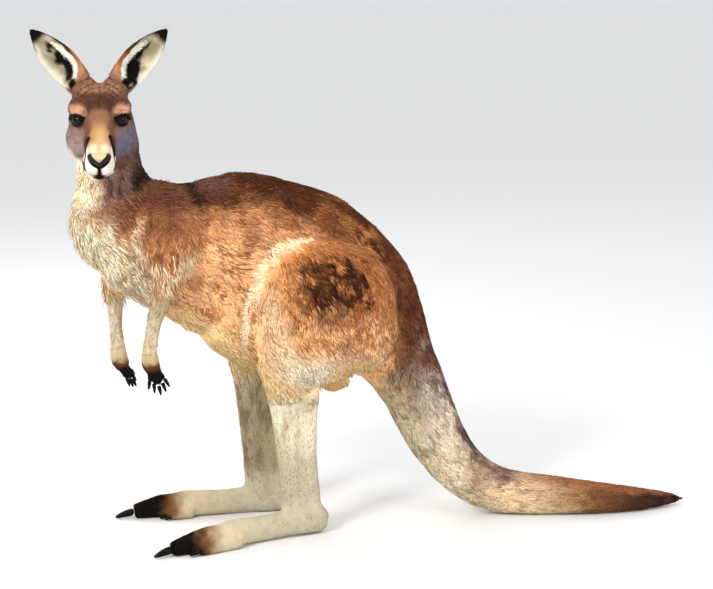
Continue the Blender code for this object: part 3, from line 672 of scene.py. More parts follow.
def paint_face(local, wobble):
    """Local are points in the head's own directions."""
    f, s, u = local.T
    waver = wobble - .5
    side = np.abs(s)
    both = np.stack((f, side, u), 1)
    face = Paint(plain(len(f), 124, 84, 66))
    face(104, 64, 46, blots(local, .016, 31, .46, .60) * .6)
    face(172, 126, 98, patch(local, (-.040, 0, .080), (.036, .064, .030)))
    face(*EAR_ROOT, patch(both, (-.0555, .0535, .0800), (.036, .036, .036), .5))
    face(80, 46, 34, .8 * patch(both, (.026, .012, .060), (.032, .026, .024), .6) * ramp(wobble, .2, .5))
    face(70, 40, 32, .55 * stroke(local, (.012, .012, .006), 37, .08) * ramp(u, .020, .050))
    face(150, 118, 100, .8 * patch(both, (.050, .052, -.004), (.024, .028, .016)))
    face(152, 108, 80, .8 * patch(both, (.060, .006, .040), (.034, .019, .020)))
    towards_nose = np.clip(f - .06, 0, .08)
    bridge = 1 - ramp(side + .006 * waver, .012 + .20 * towards_nose, .020 + .24 * towards_nose)
    face(188, 134, 90, bridge * ramp(f, .050, .100) * ramp(u, -.035, 0.0))
    # Painted highlight: a pale patch on top of the muzzle.
    face(228, 184, 132, .8 * patch(local, (.104, .003, .010), (.034, .014, .020), .9))
    left = ramp(s, -.01, .01)
    cheek = patch(both, (.034, .066, -.050), (.056, .042, .042), .60)
    cheek = cheek * ramp(side + .02 * waver, .028, .052)
    face(172, 152, 148, cheek * .85)
    face(92, 100, 136, cheek * left * .85)
    dusk = ramp(mottle(local, .020, 33) + .16 * ramp(u, -.05, -.01), .48, .70)
    face(134, 104, 98, (.6 - .25 * left) * cheek * dusk)
    # Painted shade over the dark marking on the side of the muzzle.
    face(62, 40, 36, .80 * patch(both, (.096, .0385, -.020), (.024, .013, .030), .5))
    white = patch(both, (.146, .021, -.040), (.030, .0190, .027), .14) * ramp(side, .0030, .0055)
    white = np.maximum(white, patch(both, (.126, .033, -.022), (.018, .011, .022), .2))
    face(238, 231, 220, white)
    strip = (1 - ramp(side, .0030, .0052)) * ramp(f, .142, .150)
    strip = strip * ramp(-u, .030, .034) * (1 - ramp(-u, .064, .068))
    face(10, 8, 8, strip)
    face(206, 196, 168, white * .5 * patch(both, (.152, .012, -.052), (.012, .010, .010), .5))
    # The dark stripe behind the lips is a marking; on the left side it is widened by painted shadow.
    stripe = np.zeros(len(f))
    for path in LIP_WEDGE:
        away = follow(local, path)[0] + .004 * waver
        stripe = np.maximum(stripe, 1 - ramp(away, .0038 + .0024 * left, .0080 + .0034 * left))
    for path in LIP_EDGE:
        stripe = np.maximum(stripe, 1 - ramp(follow(local, path)[0] + .003 * waver, .0030, .0062))
    face(26, 18, 19, stripe)
    face(206, 182, 140, patch(local, (.152, 0, -.010), (.018, .018, .014), .4))
    face(240, 226, 190, .92 * patch(both, (.134, .0140, -.002), (.020, .0125, .012), .65))
    # Painted shade: an olive-grey patch under the chin.
    face(92, 86, 70, patch(both, (.118, .010, -.082), (.042, .032, .018), .35))
    face(238, 230, 214, patch(both, (.142, .030, -.066), (.018, .014, .006), .4))
    dark_lines = np.maximum.reduce([line_mark(local, path, .0024) for path in MOUTH]
                                   + [line_mark(local, CLEFT, .0030)])
    face(8, 6, 6, ramp(dark_lines, .30, .6))
    face(8, 6, 6, patch(local, (.158, 0, -.069), (.014, .0125, .0080), .2))
    face(12, 10, 10, patch(both, (.150, .0195, -.015), (.014, .0085, .0075), .3))
    low = ((u + .0250 - .0050 * (side / .0285) ** 1.6) / .0170).clip(-1.2, 1.2)
    broad = .0290 * (1 - .56 * (-low).clip(0, 1.2) ** 1.4)
    below_nose = (1 - ramp(np.hypot(side / broad, low), .94, 1.04)) * ramp(f, .120, .132)
    face(10, 8, 8, below_nose * ramp(side - 1.25 * (u + .0200), -.001, .001))
    for path in WRINKLES:
        face(66, 38, 30, .75 * ramp(line_mark(local, path, .0022), .3, .9) * ramp(wobble, .25, .5))
    face(58, 32, 24, .7 * ramp(line_mark(local, BROW_CREASE, .0030), .3, .9) * ramp(wobble, .3, .5))
    face(232, 172, 138, .90 * patch(both, (.025, .055, .043), (.022, .027, .0110), .6)
         * ramp(wobble, .15, .45))
    for one_side in (1, -1):
        sideways, up, away = eye_angles(local, one_side)
        rho = opening(sideways, up)
        near = 1 - ramp(away, EYE_RADIUS * 1.3, EYE_RADIUS * 1.6)
        rim = (1 - ramp(rho - .16 * ramp(up, 0, 20), 1.10, 1.22)) * near
        face(14, 9, 8, rim)
        face(60, 38, 34, .6 * (1 - ramp(rho, 1.2, 1.5)) * near * ramp(-up, -5, 20))
    return face.tint


print("face rules ready")

# %% What the rules ask
class Spots:
    """Points of the skin as the rules see them: place, facing, height in the trunk, part and slow noises."""

    def __init__(self, spots, outward, table):
        self.d, self.outward, self.part = spots - PLACE, outward, parts_of(table)
        self.x, self.y, self.z = self.d.T
        self.height = height_in_trunk(self.d)
        self.wobble, self.blotch = mottle(self.d, .045, 1) - .5, mottle(self.d, .040, 9) - .5
        self.scale, self.fine = mottle(self.d, .026, 9), mottle(self.d, .014, 14)
        self.grain = self.fine - .5


print("rules ask for place, facing, height, part and four noises")

# %% Back, flanks, rump and belly
def paint_trunk(coat, at):
    d, y, height, part = at.d, at.y, at.height, at.part
    wobble, blotch, scale = at.wobble, at.blotch, at.scale
    coat(216, 156, 108, blots(d, .03, 41, .45, .60) * .7)
    rear = ramp(y, -.02, .16)
    mid = ramp(height + .6 * wobble + .35 * rear, 0.00, .55)
    coat(204, 146, 100, mid)
    back = ramp(height + .5 * wobble + .30 * rear, .42, .90)
    coat(172, 114, 72, back)
    coat(92, 50, 30, back * ramp(scale, .47, .53) * .85)
    coat(134, 80, 50, mid * ramp(y, -.28, -.18) * blots(d, .032, 63, .50, .56) * .65)
    coat(70, 34, 18, ramp(height + .3 * blotch + .16 * (1 - ramp(y, -.06, .04)), .80, .96) * .9)
    rump = rear * ramp(height + .5 * wobble, -.45, 0.0)
    coat(150, 90, 48, rump * .85)
    coat(66, 32, 18, rump * ramp(scale, .46, .52) * .9)
    coat(206, 146, 92, rump * blots(d, .022, 61, .56, .62) * .6)
    coat(84, 44, 28, rump * ramp(y + .08 * wobble, .13, .21) * .75)
    belly = ramp(-height + .3 * wobble, .62, .92)
    coat(238, 206, 152, belly)
    lines = stroke(d, (.030, .060, .020), 3, .07) * blots(d, .05, 47, .42, .55)
    coat(130, 72, 40, lines * .75 * (1 - belly) * summed(part, "abdomen", "pelvis", "chest").clip(0, 1))


print("trunk rules ready")

# %% Chest
def paint_chest(coat, at):
    """Paints the chest and gives where its pale front is."""
    d, x, y, z = at.d, at.x, at.y, at.z
    outward, height, wobble, blotch = at.outward, at.height, at.wobble, at.blotch
    chest = at.part["chest"]
    front = ramp(-outward[:, 1] + .6 * wobble, -.05, .32)
    front = front * (1 - ramp(np.abs(x - .004) + .05 * wobble, .102, .130))
    front = front * ramp(.86 - z + .10 * (1 - ramp(x, .02, .07)), -.02, .05)
    front = front * ramp(-y, .40, .45) * (1 - ramp(outward[:, 2], .35, .65))
    coat(230, 182, 136, chest * ramp(-y, .36, .46) * .85)
    coat(120, 84, 72, chest * ramp(z + .05 * blotch, .87, .91) * ramp(y, -.42, -.32))
    coat(255, 245, 216, chest * front)
    coat(214, 168, 120, chest * front * blots(d, .028, 45, .55, .63) * .5)
    coat(168, 126, 92, chest * front * stroke(d, (.022, .03, .045), 7, .07) * .75)
    coat(238, 206, 152, chest * ramp(-height + .3 * wobble, .75, .95) * ramp(y, -.46, -.38))
    return front


print("chest rules ready")

# %% Neck, throat and nape
def paint_neck(coat, at):
    d, y, z, outward = at.d, at.y, at.z, at.outward
    part, blotch = at.part, at.blotch
    chest = part["chest"]
    neck = (part["neck"] + part["head"]).clip(0, 1)
    coat(134, 104, 98, neck)
    coat(160, 112, 82, neck * blots(d, .03, 43, .50, .60) * .8)
    coat(66, 46, 42, neck * stroke(d, (.02, .02, .05), 8, .09) * .7)
    throat = ramp(-outward[:, 1] - .30 * outward[:, 0] + .5 * at.grain, .12, .42)
    coat(247, 236, 204, neck * throat)
    coat(198, 164, 124, neck * throat * stroke(d, (.016, .03, .04), 9, .07) * .5)
    low_neck = neck * ramp(1.03 - z, 0, .10)
    withers = ramp(chest, .08, .40) * (1 - neck) * ramp(-y, .255, .325) * ramp(z, .835, .880)
    # Painted shade: near black on the back of the low neck and on the withers.
    nape_shade = ramp(outward[:, 1] + .7 * outward[:, 2] + .4 * blotch, .25, .65)
    nape_shade = nape_shade * np.maximum(low_neck, withers)
    coat(14, 8, 7, nape_shade * .95)


print("neck rules ready")

# %% Thighs
def paint_thighs(coat, at):
    d, x, y, z = at.d, at.x, at.y, at.z
    outward, part, wobble, scale = at.outward, at.part, at.wobble, at.scale
    thigh = part["thigh"]
    mirrored = mirrored_to_left(d)
    coat(226, 164, 108, thigh)
    coat(182, 118, 68, thigh * ramp(z + .06 * wobble, .66, .74))
    coat(164, 100, 56, thigh * patch(mirrored, (.19, .055, .628), (.12, .122, .096), .8) * .8)
    heart = patch(mirrored, (.19, .022, .660), (.12, .086, .064), .8)
    coat(48, 22, 12, thigh * ramp(heart, .05, .30) * ramp(scale + .30 * (heart - .5), .50, .56) * .95)
    coat(60, 30, 18, thigh * ramp(heart, .05, .4) * stroke(d, (.025, .045, .030), 13, .08) * .8)
    coat(244, 200, 148, thigh * ramp(.61 - z + .14 * wobble, 0, .12) * .80)
    coat(176, 112, 70, thigh * blots(d, .024, 51, .53, .60) * ramp(y, -.04, .04)
         * (.45 + .30 * ramp(z, .57, .62)))
    coat(206, 150, 122, thigh * blots(d, .032, 57, .54, .64) * ramp(.60 - z, 0, .08) * .5)
    coat(156, 98, 60, thigh * ramp(.64 - z, 0, .05) * stroke(d, (.035, .030, .024), 63, .07) * .6)
    coat(140, 82, 46, thigh * stroke(d, (.03, .045, .022), 12, .07) * .65)
    coat(214, 192, 148, thigh * ramp(-outward[:, 0] * np.sign(x), -.1, .4) * .85)
    leg = (thigh + part["shank"] + part["foot"]).clip(0, 1)
    coat(252, 240, 212, leg * ramp(.512 + .028 * ramp(-y, .02, .08) - z + .08 * wobble, 0, .09) * .92)
    coat(206, 198, 190, thigh * ramp(.50 - z, 0, .06) * blots(d, .05, 58, .52, .64) * .6)
    above_knee = ramp(-y - .35 * z + .02 * wobble, -.115, -.07)
    coat(244, 212, 170, thigh * above_knee * ramp(z, .46, .52) * .8)
    coat(206, 168, 104, thigh * ramp(y, -.02, .05) * ramp(.485 - z, 0, .04) * .85)
    edge = follow(mirrored * FROM_THE_SIDE, THIGH_EDGE * FROM_THE_SIDE)[0]
    coat(246, 222, 182, (1 - ramp(edge + .035 * (mottle(d, .010, 15) - .5), 0.000, .007))
         * ramp(z, .47, .51) * (1 - ramp(z, .745, .765)))
    coat(206, 152, 98, part["scrotum"])


print("thigh rules ready")

# %% Shanks, feet and toes
def paint_shanks(coat, at):
    """Paints the lower legs and gives how far each point belongs to them."""
    d, x, y, z, outward = at.d, at.x, at.y, at.z, at.outward
    part, wobble, grain = at.part, at.wobble, at.grain
    shank = ramp(part["shank"] + part["foot"] + part["toes"] + .35 * wobble, .06, .70)
    coat(230, 220, 192, shank)
    coat(194, 176, 148, shank * blots(d / (1, 1, 4), .030, 71, .48, .64) * .65)
    coat(170, 138, 102, shank * stroke(d, (.02, .02, .07), 15, .05) * .35)
    coat(182, 172, 148, shank * ramp(.30 - z, 0, .14) * .80)
    # Painted shade on the inner side of each shank, the side that faces the other leg.
    inner_leg_shade = ramp(-outward[:, 0] * np.sign(x), -.1, .4) * ramp(z, .08, .16)
    coat(164, 148, 120, part["shank"] * inner_leg_shade * .9)
    coat(130, 114, 88, part["shank"] * inner_leg_shade * blots(d / (1, 1, 2.5), .020, 73, .50, .58) * .8)
    heel_y = np.where(x > 0, .012, -.006)
    reach = (heel_y - y) + .03 * grain + np.where(x > 0, -.012, .006)
    toed = ((part["foot"] + part["toes"]) * (z < .12)).clip(0, 1)
    coat(212, 194, 158, toed * ramp(reach, .12, .24) * .6)
    coat(122, 84, 50, toed * ramp(reach + .05 * wobble, .27, .33))
    coat(12, 8, 6, toed * ramp(reach + .05 * at.blotch, .315, .360))
    return shank


print("leg rules ready")

# %% Arms, and the front of the shoulder
def paint_arms(coat, at, front):
    """Paints the arms and gives how far each point belongs to the forearm and hand."""
    d, x, y, z, outward = at.d, at.x, at.y, at.z, at.outward
    part, wobble, grain = at.part, at.wobble, at.grain
    arm = part["upper_arm"]
    coat(206, 148, 100, arm)
    coat(160, 102, 62, arm * blots(d, .026, 81, .5, .58) * .7)
    coat(236, 190, 158, arm * ramp(-outward[:, 1] + .5 * wobble, .1, .5) * ramp(.76 - z, 0, .05) * .8)
    coat(122, 76, 48, arm * stroke(d, (.02, .02, .045), 16, .07) * .6)
    coat(246, 226, 186, arm * ramp(outward[:, 1] + .5 * grain, .35, .7) * ramp(.78 - z, 0, .05))
    coat(244, 228, 192, arm * ramp(.655 - z + .03 * grain, 0, .02))
    wrist = (part["forearm"] + part["hand"]).clip(0, 1)
    coat(222, 210, 180, wrist)
    coat(198, 178, 138, wrist * blots(d / (1, 1, 2.5), .016, 83, .48, .58) * .6)
    coat(186, 156, 112, wrist * stroke(d, (.015, .015, .06), 17, .07) * .5)
    # Painted shade at the top of the forearm, under the hair of the shoulder.
    coat(166, 144, 110, wrist * ramp(z + .03 * grain, .575, .625) * .55)
    front_quarter = (part["chest"] * (1 - front) + arm).clip(0, 1) * ramp(x, -.02, .05)
    front_quarter = front_quarter * ramp(-y + .05 * wobble, .31, .40) * (1 - part["neck"])
    tall = z + .05 * wobble
    coat(190, 130, 86, front_quarter * ramp(tall, .745, .785) * .8)
    coat(136, 84, 56, front_quarter * ramp(tall, .780, .820) * .85)
    coat(96, 58, 48, front_quarter * ramp(tall, .835, .880) * .9)
    coat(92, 54, 40, front_quarter * stroke(d, (.02, .02, .045), 6, .07) * .5)
    low = np.where(x > 0, .484, .440)
    coat(192, 164, 112, wrist * ramp(low + .050 - z + .03 * grain, 0, .055) * .75)
    coat(92, 52, 24, wrist * ramp(low + .004 - z + .02 * grain, 0, .016))
    coat(14, 9, 7, wrist * ramp(low - .014 - z + .02 * grain, 0, .016))
    return wrist


print("arm rules ready")

# %% Tail
def paint_tail(coat, at):
    d, y, height, part, wobble, blotch = at.d, at.y, at.height, at.part, at.wobble, at.blotch
    tail = summed(part, *TAIL).clip(0, 1)
    hind = (part["pelvis"] + tail).clip(0, 1) * ramp(y + .14 * wobble - .10 * height, .205, .300)
    tail = np.maximum(tail * ramp(y, .18, .26), hind)
    stops = np.array((.20, .28, .34, .38, .44, .51, .57, .65, .72, .79, .88, .98))
    tones = np.array([tone(*c) for c in (
        (138, 104, 80), (158, 140, 122), (206, 190, 172), (226, 208, 182), (160, 136, 114), (226, 196, 160),
        (222, 188, 152), (168, 132, 96), (134, 94, 60), (100, 64, 38), (58, 36, 24), (26, 12, 8))])
    place = y + .06 * wobble
    tail_coat = Paint(np.stack([np.interp(place, stops, tones[:, k]) for k in range(3)], 1))
    tail_coat(116, 84, 84, ramp(height + .9 * blotch, .50, .84) * .85 * (1 - ramp(y, .50, .62)))
    tail_coat(74, 48, 46, blots(d, .026, 91, .54, .60) * .7 * (1 - ramp(y, .52, .64))
              * ramp(height, 0.0, .6))
    tail_coat(150, 96, 60, ramp(height + .6 * blotch, .40, .75) * .7 * ramp(y, .52, .64))
    tail_coat(216, 204, 166, ramp(-height, .1, .8) * .6 * (1 - ramp(y, .62, .74)))
    tail_coat(84, 54, 44, stroke(d, (.02, .05, .03), 19, .06) * .5)
    coat.tint = coat.tint * (1 - tail[:, None]) + tail_coat.tint * tail[:, None]


print("tail rules ready")

# %% All the rules together
def paint(spots, outward, table):
    """Colour of the coat at points of the skin, from place, facing and the part weights."""
    at = Spots(spots, outward, table)
    coat = Paint(plain(len(spots), 240, 188, 138))
    paint_trunk(coat, at)
    front = paint_chest(coat, at)
    paint_neck(coat, at)
    paint_thighs(coat, at)
    shank = paint_shanks(coat, at)
    wrist = paint_arms(coat, at, front)
    paint_tail(coat, at)
    tint = coat.tint
    onto = ramp(at.part["head"] + .40 * at.wobble, .20, .75)
    if onto.max() > 0:
        on = onto > 0
        local = head_view(spots[on])
        jaw = ramp(-local[:, 2] + .03 * at.wobble[on], .052, .090) * (1 - ramp(local[:, 0], .070, .100))
        tint[on] = lay(tint[on], paint_face(local, at.fine[on]), onto[on] * (1 - jaw))
    gain = 1.10 - .32 * onto - .22 * shank - .32 * wrist
    tint = tint * (gain * (.88 + .24 * at.fine))[:, None]
    return (tint / np.maximum(tint.max(axis=1) / .90, 1)[:, None]).clip(0, 1)


skin_spots = points_of(skin.data)
skin_tint = paint(skin_spots, normals_of(skin.data), weights)
print("mean colour of the skin:", skin_tint.mean(0).round(3))

# %% [markdown]
# ## Finishes
#
# All the painted colours travel with the meshes as a colour attribute called
# tint. The shader adds what is too small to model: the grain of single hairs
# inside a tuft, the pebbles of the nose leather, the fine grain of a claw.
# One node group makes the grain for skin, coat and ears, so they all share
# one look.

# %% A shared grain
def set_inputs(node, **values):
    for label, value in values.items():
        node.inputs[label.replace("_", " ")].default_value = value


def new_group(name, inputs, outputs):
    group = bpy.data.node_groups.new(name, "ShaderNodeTree")
    for label, kind, value in inputs:
        socket = group.interface.new_socket(label, in_out="INPUT", socket_type=kind)
        if value is not None:
            socket.default_value = value
    for label, kind in outputs:
        group.interface.new_socket(label, in_out="OUTPUT", socket_type=kind)
    return group


def hair_grain():
    group = new_group("Hair grain",
                      (("Tint", "NodeSocketColor", None), ("Fineness", "NodeSocketFloat", 520.0),
                       ("Depth", "NodeSocketFloat", .25)),
                      (("Tint", "NodeSocketColor"), ("Height", "NodeSocketFloat")))
    add, link = group.nodes.new, group.links.new
    source, result = add("NodeGroupInput"), add("NodeGroupOutput")
    place = add("ShaderNodeTexCoord")
    grain = add("ShaderNodeTexNoise")
    set_inputs(grain, Detail=3.0, Roughness=.6)
    link(place.outputs["Object"], grain.inputs["Vector"])
    link(source.outputs["Fineness"], grain.inputs["Scale"])
    centred = add("ShaderNodeMath")
    centred.operation = "SUBTRACT"
    centred.inputs[1].default_value = .5
    link(grain.outputs["Fac"], centred.inputs[0])
    scaled = add("ShaderNodeMath")
    scaled.operation = "MULTIPLY_ADD"
    scaled.inputs[2].default_value = 1.0
    link(centred.outputs[0], scaled.inputs[0])
    link(source.outputs["Depth"], scaled.inputs[1])
    shade = add("ShaderNodeMix")
    shade.data_type = "RGBA"
    shade.blend_type = "MULTIPLY"
    set_inputs(shade, Factor=1.0)
    link(source.outputs["Tint"], shade.inputs["A"])
    link(scaled.outputs[0], shade.inputs["B"])
    link(shade.outputs["Result"], result.inputs["Tint"])
    link(grain.outputs["Fac"], result.inputs["Height"])
    return group


GRAIN = hair_grain()
print("group made:", GRAIN.name)

# %% Materials
def tinted(name, fineness, depth, roughness, bump, reach=.0008, specular=.3):
    """A finish that takes its colour from the tint attribute and its grain from the shared group."""
    material = bpy.data.materials.new(name)
    material.use_nodes = True
    tree = material.node_tree
    shader = tree.nodes["Principled BSDF"]
    set_inputs(shader, Roughness=roughness, Specular_IOR_Level=specular)
    colour = tree.nodes.new("ShaderNodeAttribute")
    colour.attribute_name = "tint"
    grain = tree.nodes.new("ShaderNodeGroup")
    grain.node_tree = GRAIN
    set_inputs(grain, Fineness=fineness, Depth=depth)
    relief = tree.nodes.new("ShaderNodeBump")
    set_inputs(relief, Strength=bump, Distance=reach)
    tree.links.new(colour.outputs["Color"], grain.inputs["Tint"])
    tree.links.new(grain.outputs["Tint"], shader.inputs["Base Color"])
    tree.links.new(grain.outputs["Height"], relief.inputs["Height"])
    tree.links.new(relief.outputs["Normal"], shader.inputs["Normal"])
    return material


SKIN_FINISH = tinted("Haired skin", 620, .30, .90, .5, specular=.10)
COAT_FINISH = tinted("Coat", 520, .34, .85, .35, specular=.10)
EYE_FINISH = tinted("Wet eye", 300, .20, .05, .01, specular=.17)
NOSE_FINISH = tinted("Nose leather", 1500, .35, .45, .8, reach=.0004, specular=.22)
CLAW_FINISH = tinted("Claw horn", 420, .45, .50, .25, specular=.07)
LID_FINISH = tinted("Eyelid", 900, .30, .50, .4, specular=.12)


def paint_on(mesh, colours):
    """Keeps a colour for each vertex as the tint attribute."""
    layer = mesh.attributes.new("tint", "FLOAT_COLOR", "POINT")
    rgba = np.ones((len(mesh.vertices), 4), np.float32)
    rgba[:, :3] = np.clip(colours, 0, 1)
    layer.data.foreach_set("color", rgba.ravel())


def dress(piece, finish, slot, *replaced):
    piece.data.materials.clear()
    piece.data.materials.append(finish)
    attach(piece, "root")
    if replaced:
        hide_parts(*replaced)


paint_on(skin.data, skin_tint)
dress(skin, SKIN_FINISH, "coat", *FLESH)
print("skin dressed, faces:", len(triangles_of(skin.data)))

# %% [markdown]
# ## Eyes
#
# A kangaroo's eye is large, dark and wet, and its pupil barely shows. The
# ball is a fine sphere of the solid's size, so it sits as deep as the real
# one behind lids that cover its edge. The lid margins are a tube laid along
# the edge of the opening, thicker above, where the lashes grow.

# %% Eyeballs
def eyeball(side, name):
    centre, out, across, up = eye_axes(side)
    ball = primitive(name, "uv_sphere", segments=64, ring_count=40, radius=EYE_RADIUS)
    round_ball = points_of(ball.data)
    turn = np.degrees(np.arccos(np.clip(round_ball[:, 2] / EYE_RADIUS, -1, 1)))
    bulge = 1 + .045 * np.exp(-(turn / 32) ** 2)
    spots = round_ball[:, 0:1] * across + round_ball[:, 1:2] * up + round_ball[:, 2:3] * out
    spots = spots * bulge[:, None]
    spots = spots + centre
    if side < 0:
        ball.data.flip_normals()
    move_to(ball.data, turned_out(spots) + HEAD_SPOT)
    iris = Paint(plain(len(turn), 4, 3, 3))
    iris(17, 9, 7, ramp(turn, 26, 30) * (1 - ramp(turn, 36, 44)))
    paint_on(ball.data, iris.tint)
    bpy.ops.object.shade_smooth()
    dress(ball, EYE_FINISH, "eye", "eye_left" if side > 0 else "eye_right")
    return ball


for side, name in ((1, "eyeball_left"), (-1, "eyeball_right")):
    ball = eyeball(side, name)
    print(name, "across:", round(2000 * EYE_RADIUS), "mm")

# %% Lid margins
def on_opening(side, angle, swell, lift):
    """A point over the eyeball at an angle round the opening, swell times its size, lift above the ball."""
    centre, out, across, up = eye_axes(side)
    sideways = OPEN_SIDE * math.cos(angle) * swell
    tall = (OPEN_UP if math.sin(angle) > 0 else OPEN_DOWN) * math.sin(angle) * swell
    turn = math.radians(math.hypot(sideways, tall))
    lean = math.atan2(tall, sideways)
    ray = math.cos(turn) * out + math.sin(turn) * (math.cos(lean) * across + math.sin(lean) * up)
    return centre + ray * (EYE_RADIUS + lift)


def lid_margin(side, name):
    ring = primitive(name, "torus", major_segments=96, minor_segments=12, major_radius=1.0, minor_radius=.25)
    spots = points_of(ring.data)
    angle = np.arctan2(spots[:, 1], spots[:, 0])
    out_of_middle = np.hypot(spots[:, 0], spots[:, 1]) - 1.0
    world = []
    for a, wide, high in zip(angle, out_of_middle / .25, spots[:, 2] / .25):
        upper = max(0.0, math.sin(a))
        thick = .0016 + .0014 * upper
        swell = 1.02 + .055 * wide * (1 + .6 * upper)
        near = on_opening(side, a, swell, .0006 + thick * .5 + high * thick)
        world.append(in_head(*near))
    move_to(ring.data, np.array(world))
    if side < 0:
        ring.data.flip_normals()
    paint_on(ring.data, plain(len(world), 15, 10, 9))
    bpy.ops.object.shade_smooth()
    dress(ring, LID_FINISH, "nose")
    return ring


for side, name in ((1, "lid_margin_left"), (-1, "lid_margin_right")):
    ring = lid_margin(side, name)
    print(name, "points:", len(ring.data.vertices))

# %% [markdown]
# ## Nose
#
# The nose pad is bare leather, wider above than below, with a comma of a
# nostril at each end. It starts as a sphere, is drawn into a shield, and
# the nostrils are pressed in from their outer ends. A haired wedge runs
# down its middle from the bridge.

# %% Nose pad
NOSE_AT = np.array((.1545, 0, -.0200))


def nose_pad():
    pad = primitive("nose_pad", "uv_sphere", segments=96, ring_count=64, radius=1.0)
    ball = points_of(pad.data)
    f, s, u = ball[:, 2], ball[:, 0], ball[:, 1]
    narrow = np.where(u < 0, 1 - .62 * np.abs(u) ** 1.4, 1.0)
    wide = .0285 * s * narrow
    tall = .0170 * u + .0050 * np.abs(s) ** 1.6
    deep = .0135 * f - .0060 * s ** 2
    local = NOSE_AT + np.stack((deep, wide, tall), 1)
    for side in (1, -1):
        hollow = swelling(local, (.1565, side * .0175, -.0150), (.010, .0062, .0040))
        slit = swelling(local, (.1560, side * .0235, -.0120), (.010, .0050, .0028))
        local[:, 0] -= .0058 * hollow + .0040 * slit
        wing = swelling(local, (.152, side * .0180, -.0225), (.012, .0060, .0030))
        local[:, 0] += .0012 * wing
    local[:, 0] -= .0012 * np.exp(-(local[:, 1] / .0016) ** 2) * (local[:, 2] < -.020)
    move_to(pad.data, turned_out(local) + HEAD_SPOT)
    leather = Paint(plain(len(local), 20, 17, 17))
    wedge = ramp((local[:, 2] + .0200) * 1.25 - np.abs(local[:, 1]), 0.0, .0016)
    leather(150, 134, 104, wedge)
    leather(204, 180, 138, wedge * ramp(local[:, 2], -.018, -.006))
    paint_on(pad.data, leather.tint)
    bpy.ops.object.shade_smooth()
    dress(pad, NOSE_FINISH, "nose", "nose")
    return pad


nose = mended(nose_pad())
print("nose pad points:", len(nose.data.vertices))

# %% [markdown]
# ## Ears
#
# The ears' shape is already in the solids, so each is a merged, subdivided
# copy of its solid. What it lacks is the inside: ridges of cartilage running
# up the cup, painted shade in the hollow of the cup, and a rim that is black
# towards the tip. Ridges are pressed along the ear's own height, and the
# colours follow its own height and width.

# %% Ear shells
EAR_LENGTH, EAR_WIDTH = .170, .097
EAR_SHADE = .84


def ear_axes(side):
    """The ear's root, and the directions up along it, out of its cup and to its outer edge."""
    root = in_head(EAR_AT[0], side * EAR_AT[1], EAR_AT[2])
    stand = unit(along_head(-.385, side * .66, .64))
    look = along_head(.80, side * .50, .30)
    look = unit(look - (look @ stand) * stand)
    return root, stand, look, np.cross(stand, look) * side


def ear_view(spots, side):
    """Height 0 to 1 up the ear, and width -1 at the inner edge to 1 at the outer."""
    root, stand, _, outer = ear_axes(side)
    reach = spots - root
    return reach @ stand / EAR_LENGTH, reach @ outer / (EAR_WIDTH / 2)


def ear_half_width(tall):
    """Half the ear's width at a height, as a share of its widest half."""
    return np.interp(tall, (-.1, 0.0, .15, .35, .6, .8, .93, 1.0),
                     (.60, .66, .86, 1.0, .92, .62, .32, .08))


def paint_ear(spots, outward, side):
    look = ear_axes(side)[2]
    tall, wide = ear_view(spots, side)
    inside = ramp(outward @ look, -.10, .15)
    wobble = mottle(spots, .012, 101) - .5
    across = wide / ear_half_width(tall) + .25 * wobble
    back = Paint(plain(len(spots), 176, 112, 72))
    back(132, 80, 52, blots(spots, .02, 103, .48, .60) * .7)
    back(206, 160, 124, ramp(.25 - tall, 0, .2) * .6)
    back(44, 26, 20, ramp(tall + .05 * wobble, .70, .92))
    back(38, 22, 17, ramp(np.abs(across), .50, .80) * ramp(tall + .08 * wobble, .40, .58))
    front = Paint(plain(len(spots), 190, 181, 152))
    front(134, 126, 98, .85 * ramp(mottle(spots, .028, 105) + .12 * tall, .42, .66))
    front(236, 229, 206, ramp(across, .50, .90) * .85)
    narrowing = .50 * ramp(tall, .40, .80)
    blot = mottle(spots, .036, 107)
    outer_edge = 1 - ramp(across + 1.5 * (blot - .5), .36 - narrowing, .60 - narrowing)
    # Painted shade in the hollow of the cup, darkest in its middle.
    hollow = ramp(across, -.26, -.16) * outer_edge * (1 - ramp(tall, .66, .80))
    front(70, 56, 40, hollow)
    front(10, 6, 5, hollow * ramp(hollow + .5 * (mottle(spots, .010, 106) - .5), .35, .65))
    fringe_band = ramp(across, -.62, -.52) * (1 - ramp(across, -.26, -.16))
    fringe_band = fringe_band * (1 - ramp(tall, .50, .66)) * ramp(tall, .02, .10)
    front(248, 244, 230, fringe_band)
    narrow = .22 * ramp(tall, .35, .8)
    rust = 1 - ramp(across, -.62 - narrow, -.52 - narrow)
    front(158, 96, 60, rust)
    front(84, 44, 27, rust * ramp(tall + .4 * (mottle(spots, .02, 108) - .5), .24, .50))
    front(196, 142, 106, rust * (1 - ramp(tall, .08, .30)) * .7)
    front(34, 19, 14, ramp(np.abs(across), .74, .88) * ramp(tall, .42, .56)
          * np.where(across < 0, 1.0, ramp(tall, .66, .80)))
    front(14, 8, 7, ramp(tall + .06 * wobble, .77, .87))
    ear = back.tint * (1 - inside[:, None]) + front.tint * inside[:, None]
    ear = lay(ear, tone(*EAR_ROOT), (1 - ramp(tall + .04 * wobble, 0.00, .10)) * (1 - hollow * inside))
    return ear * EAR_SHADE


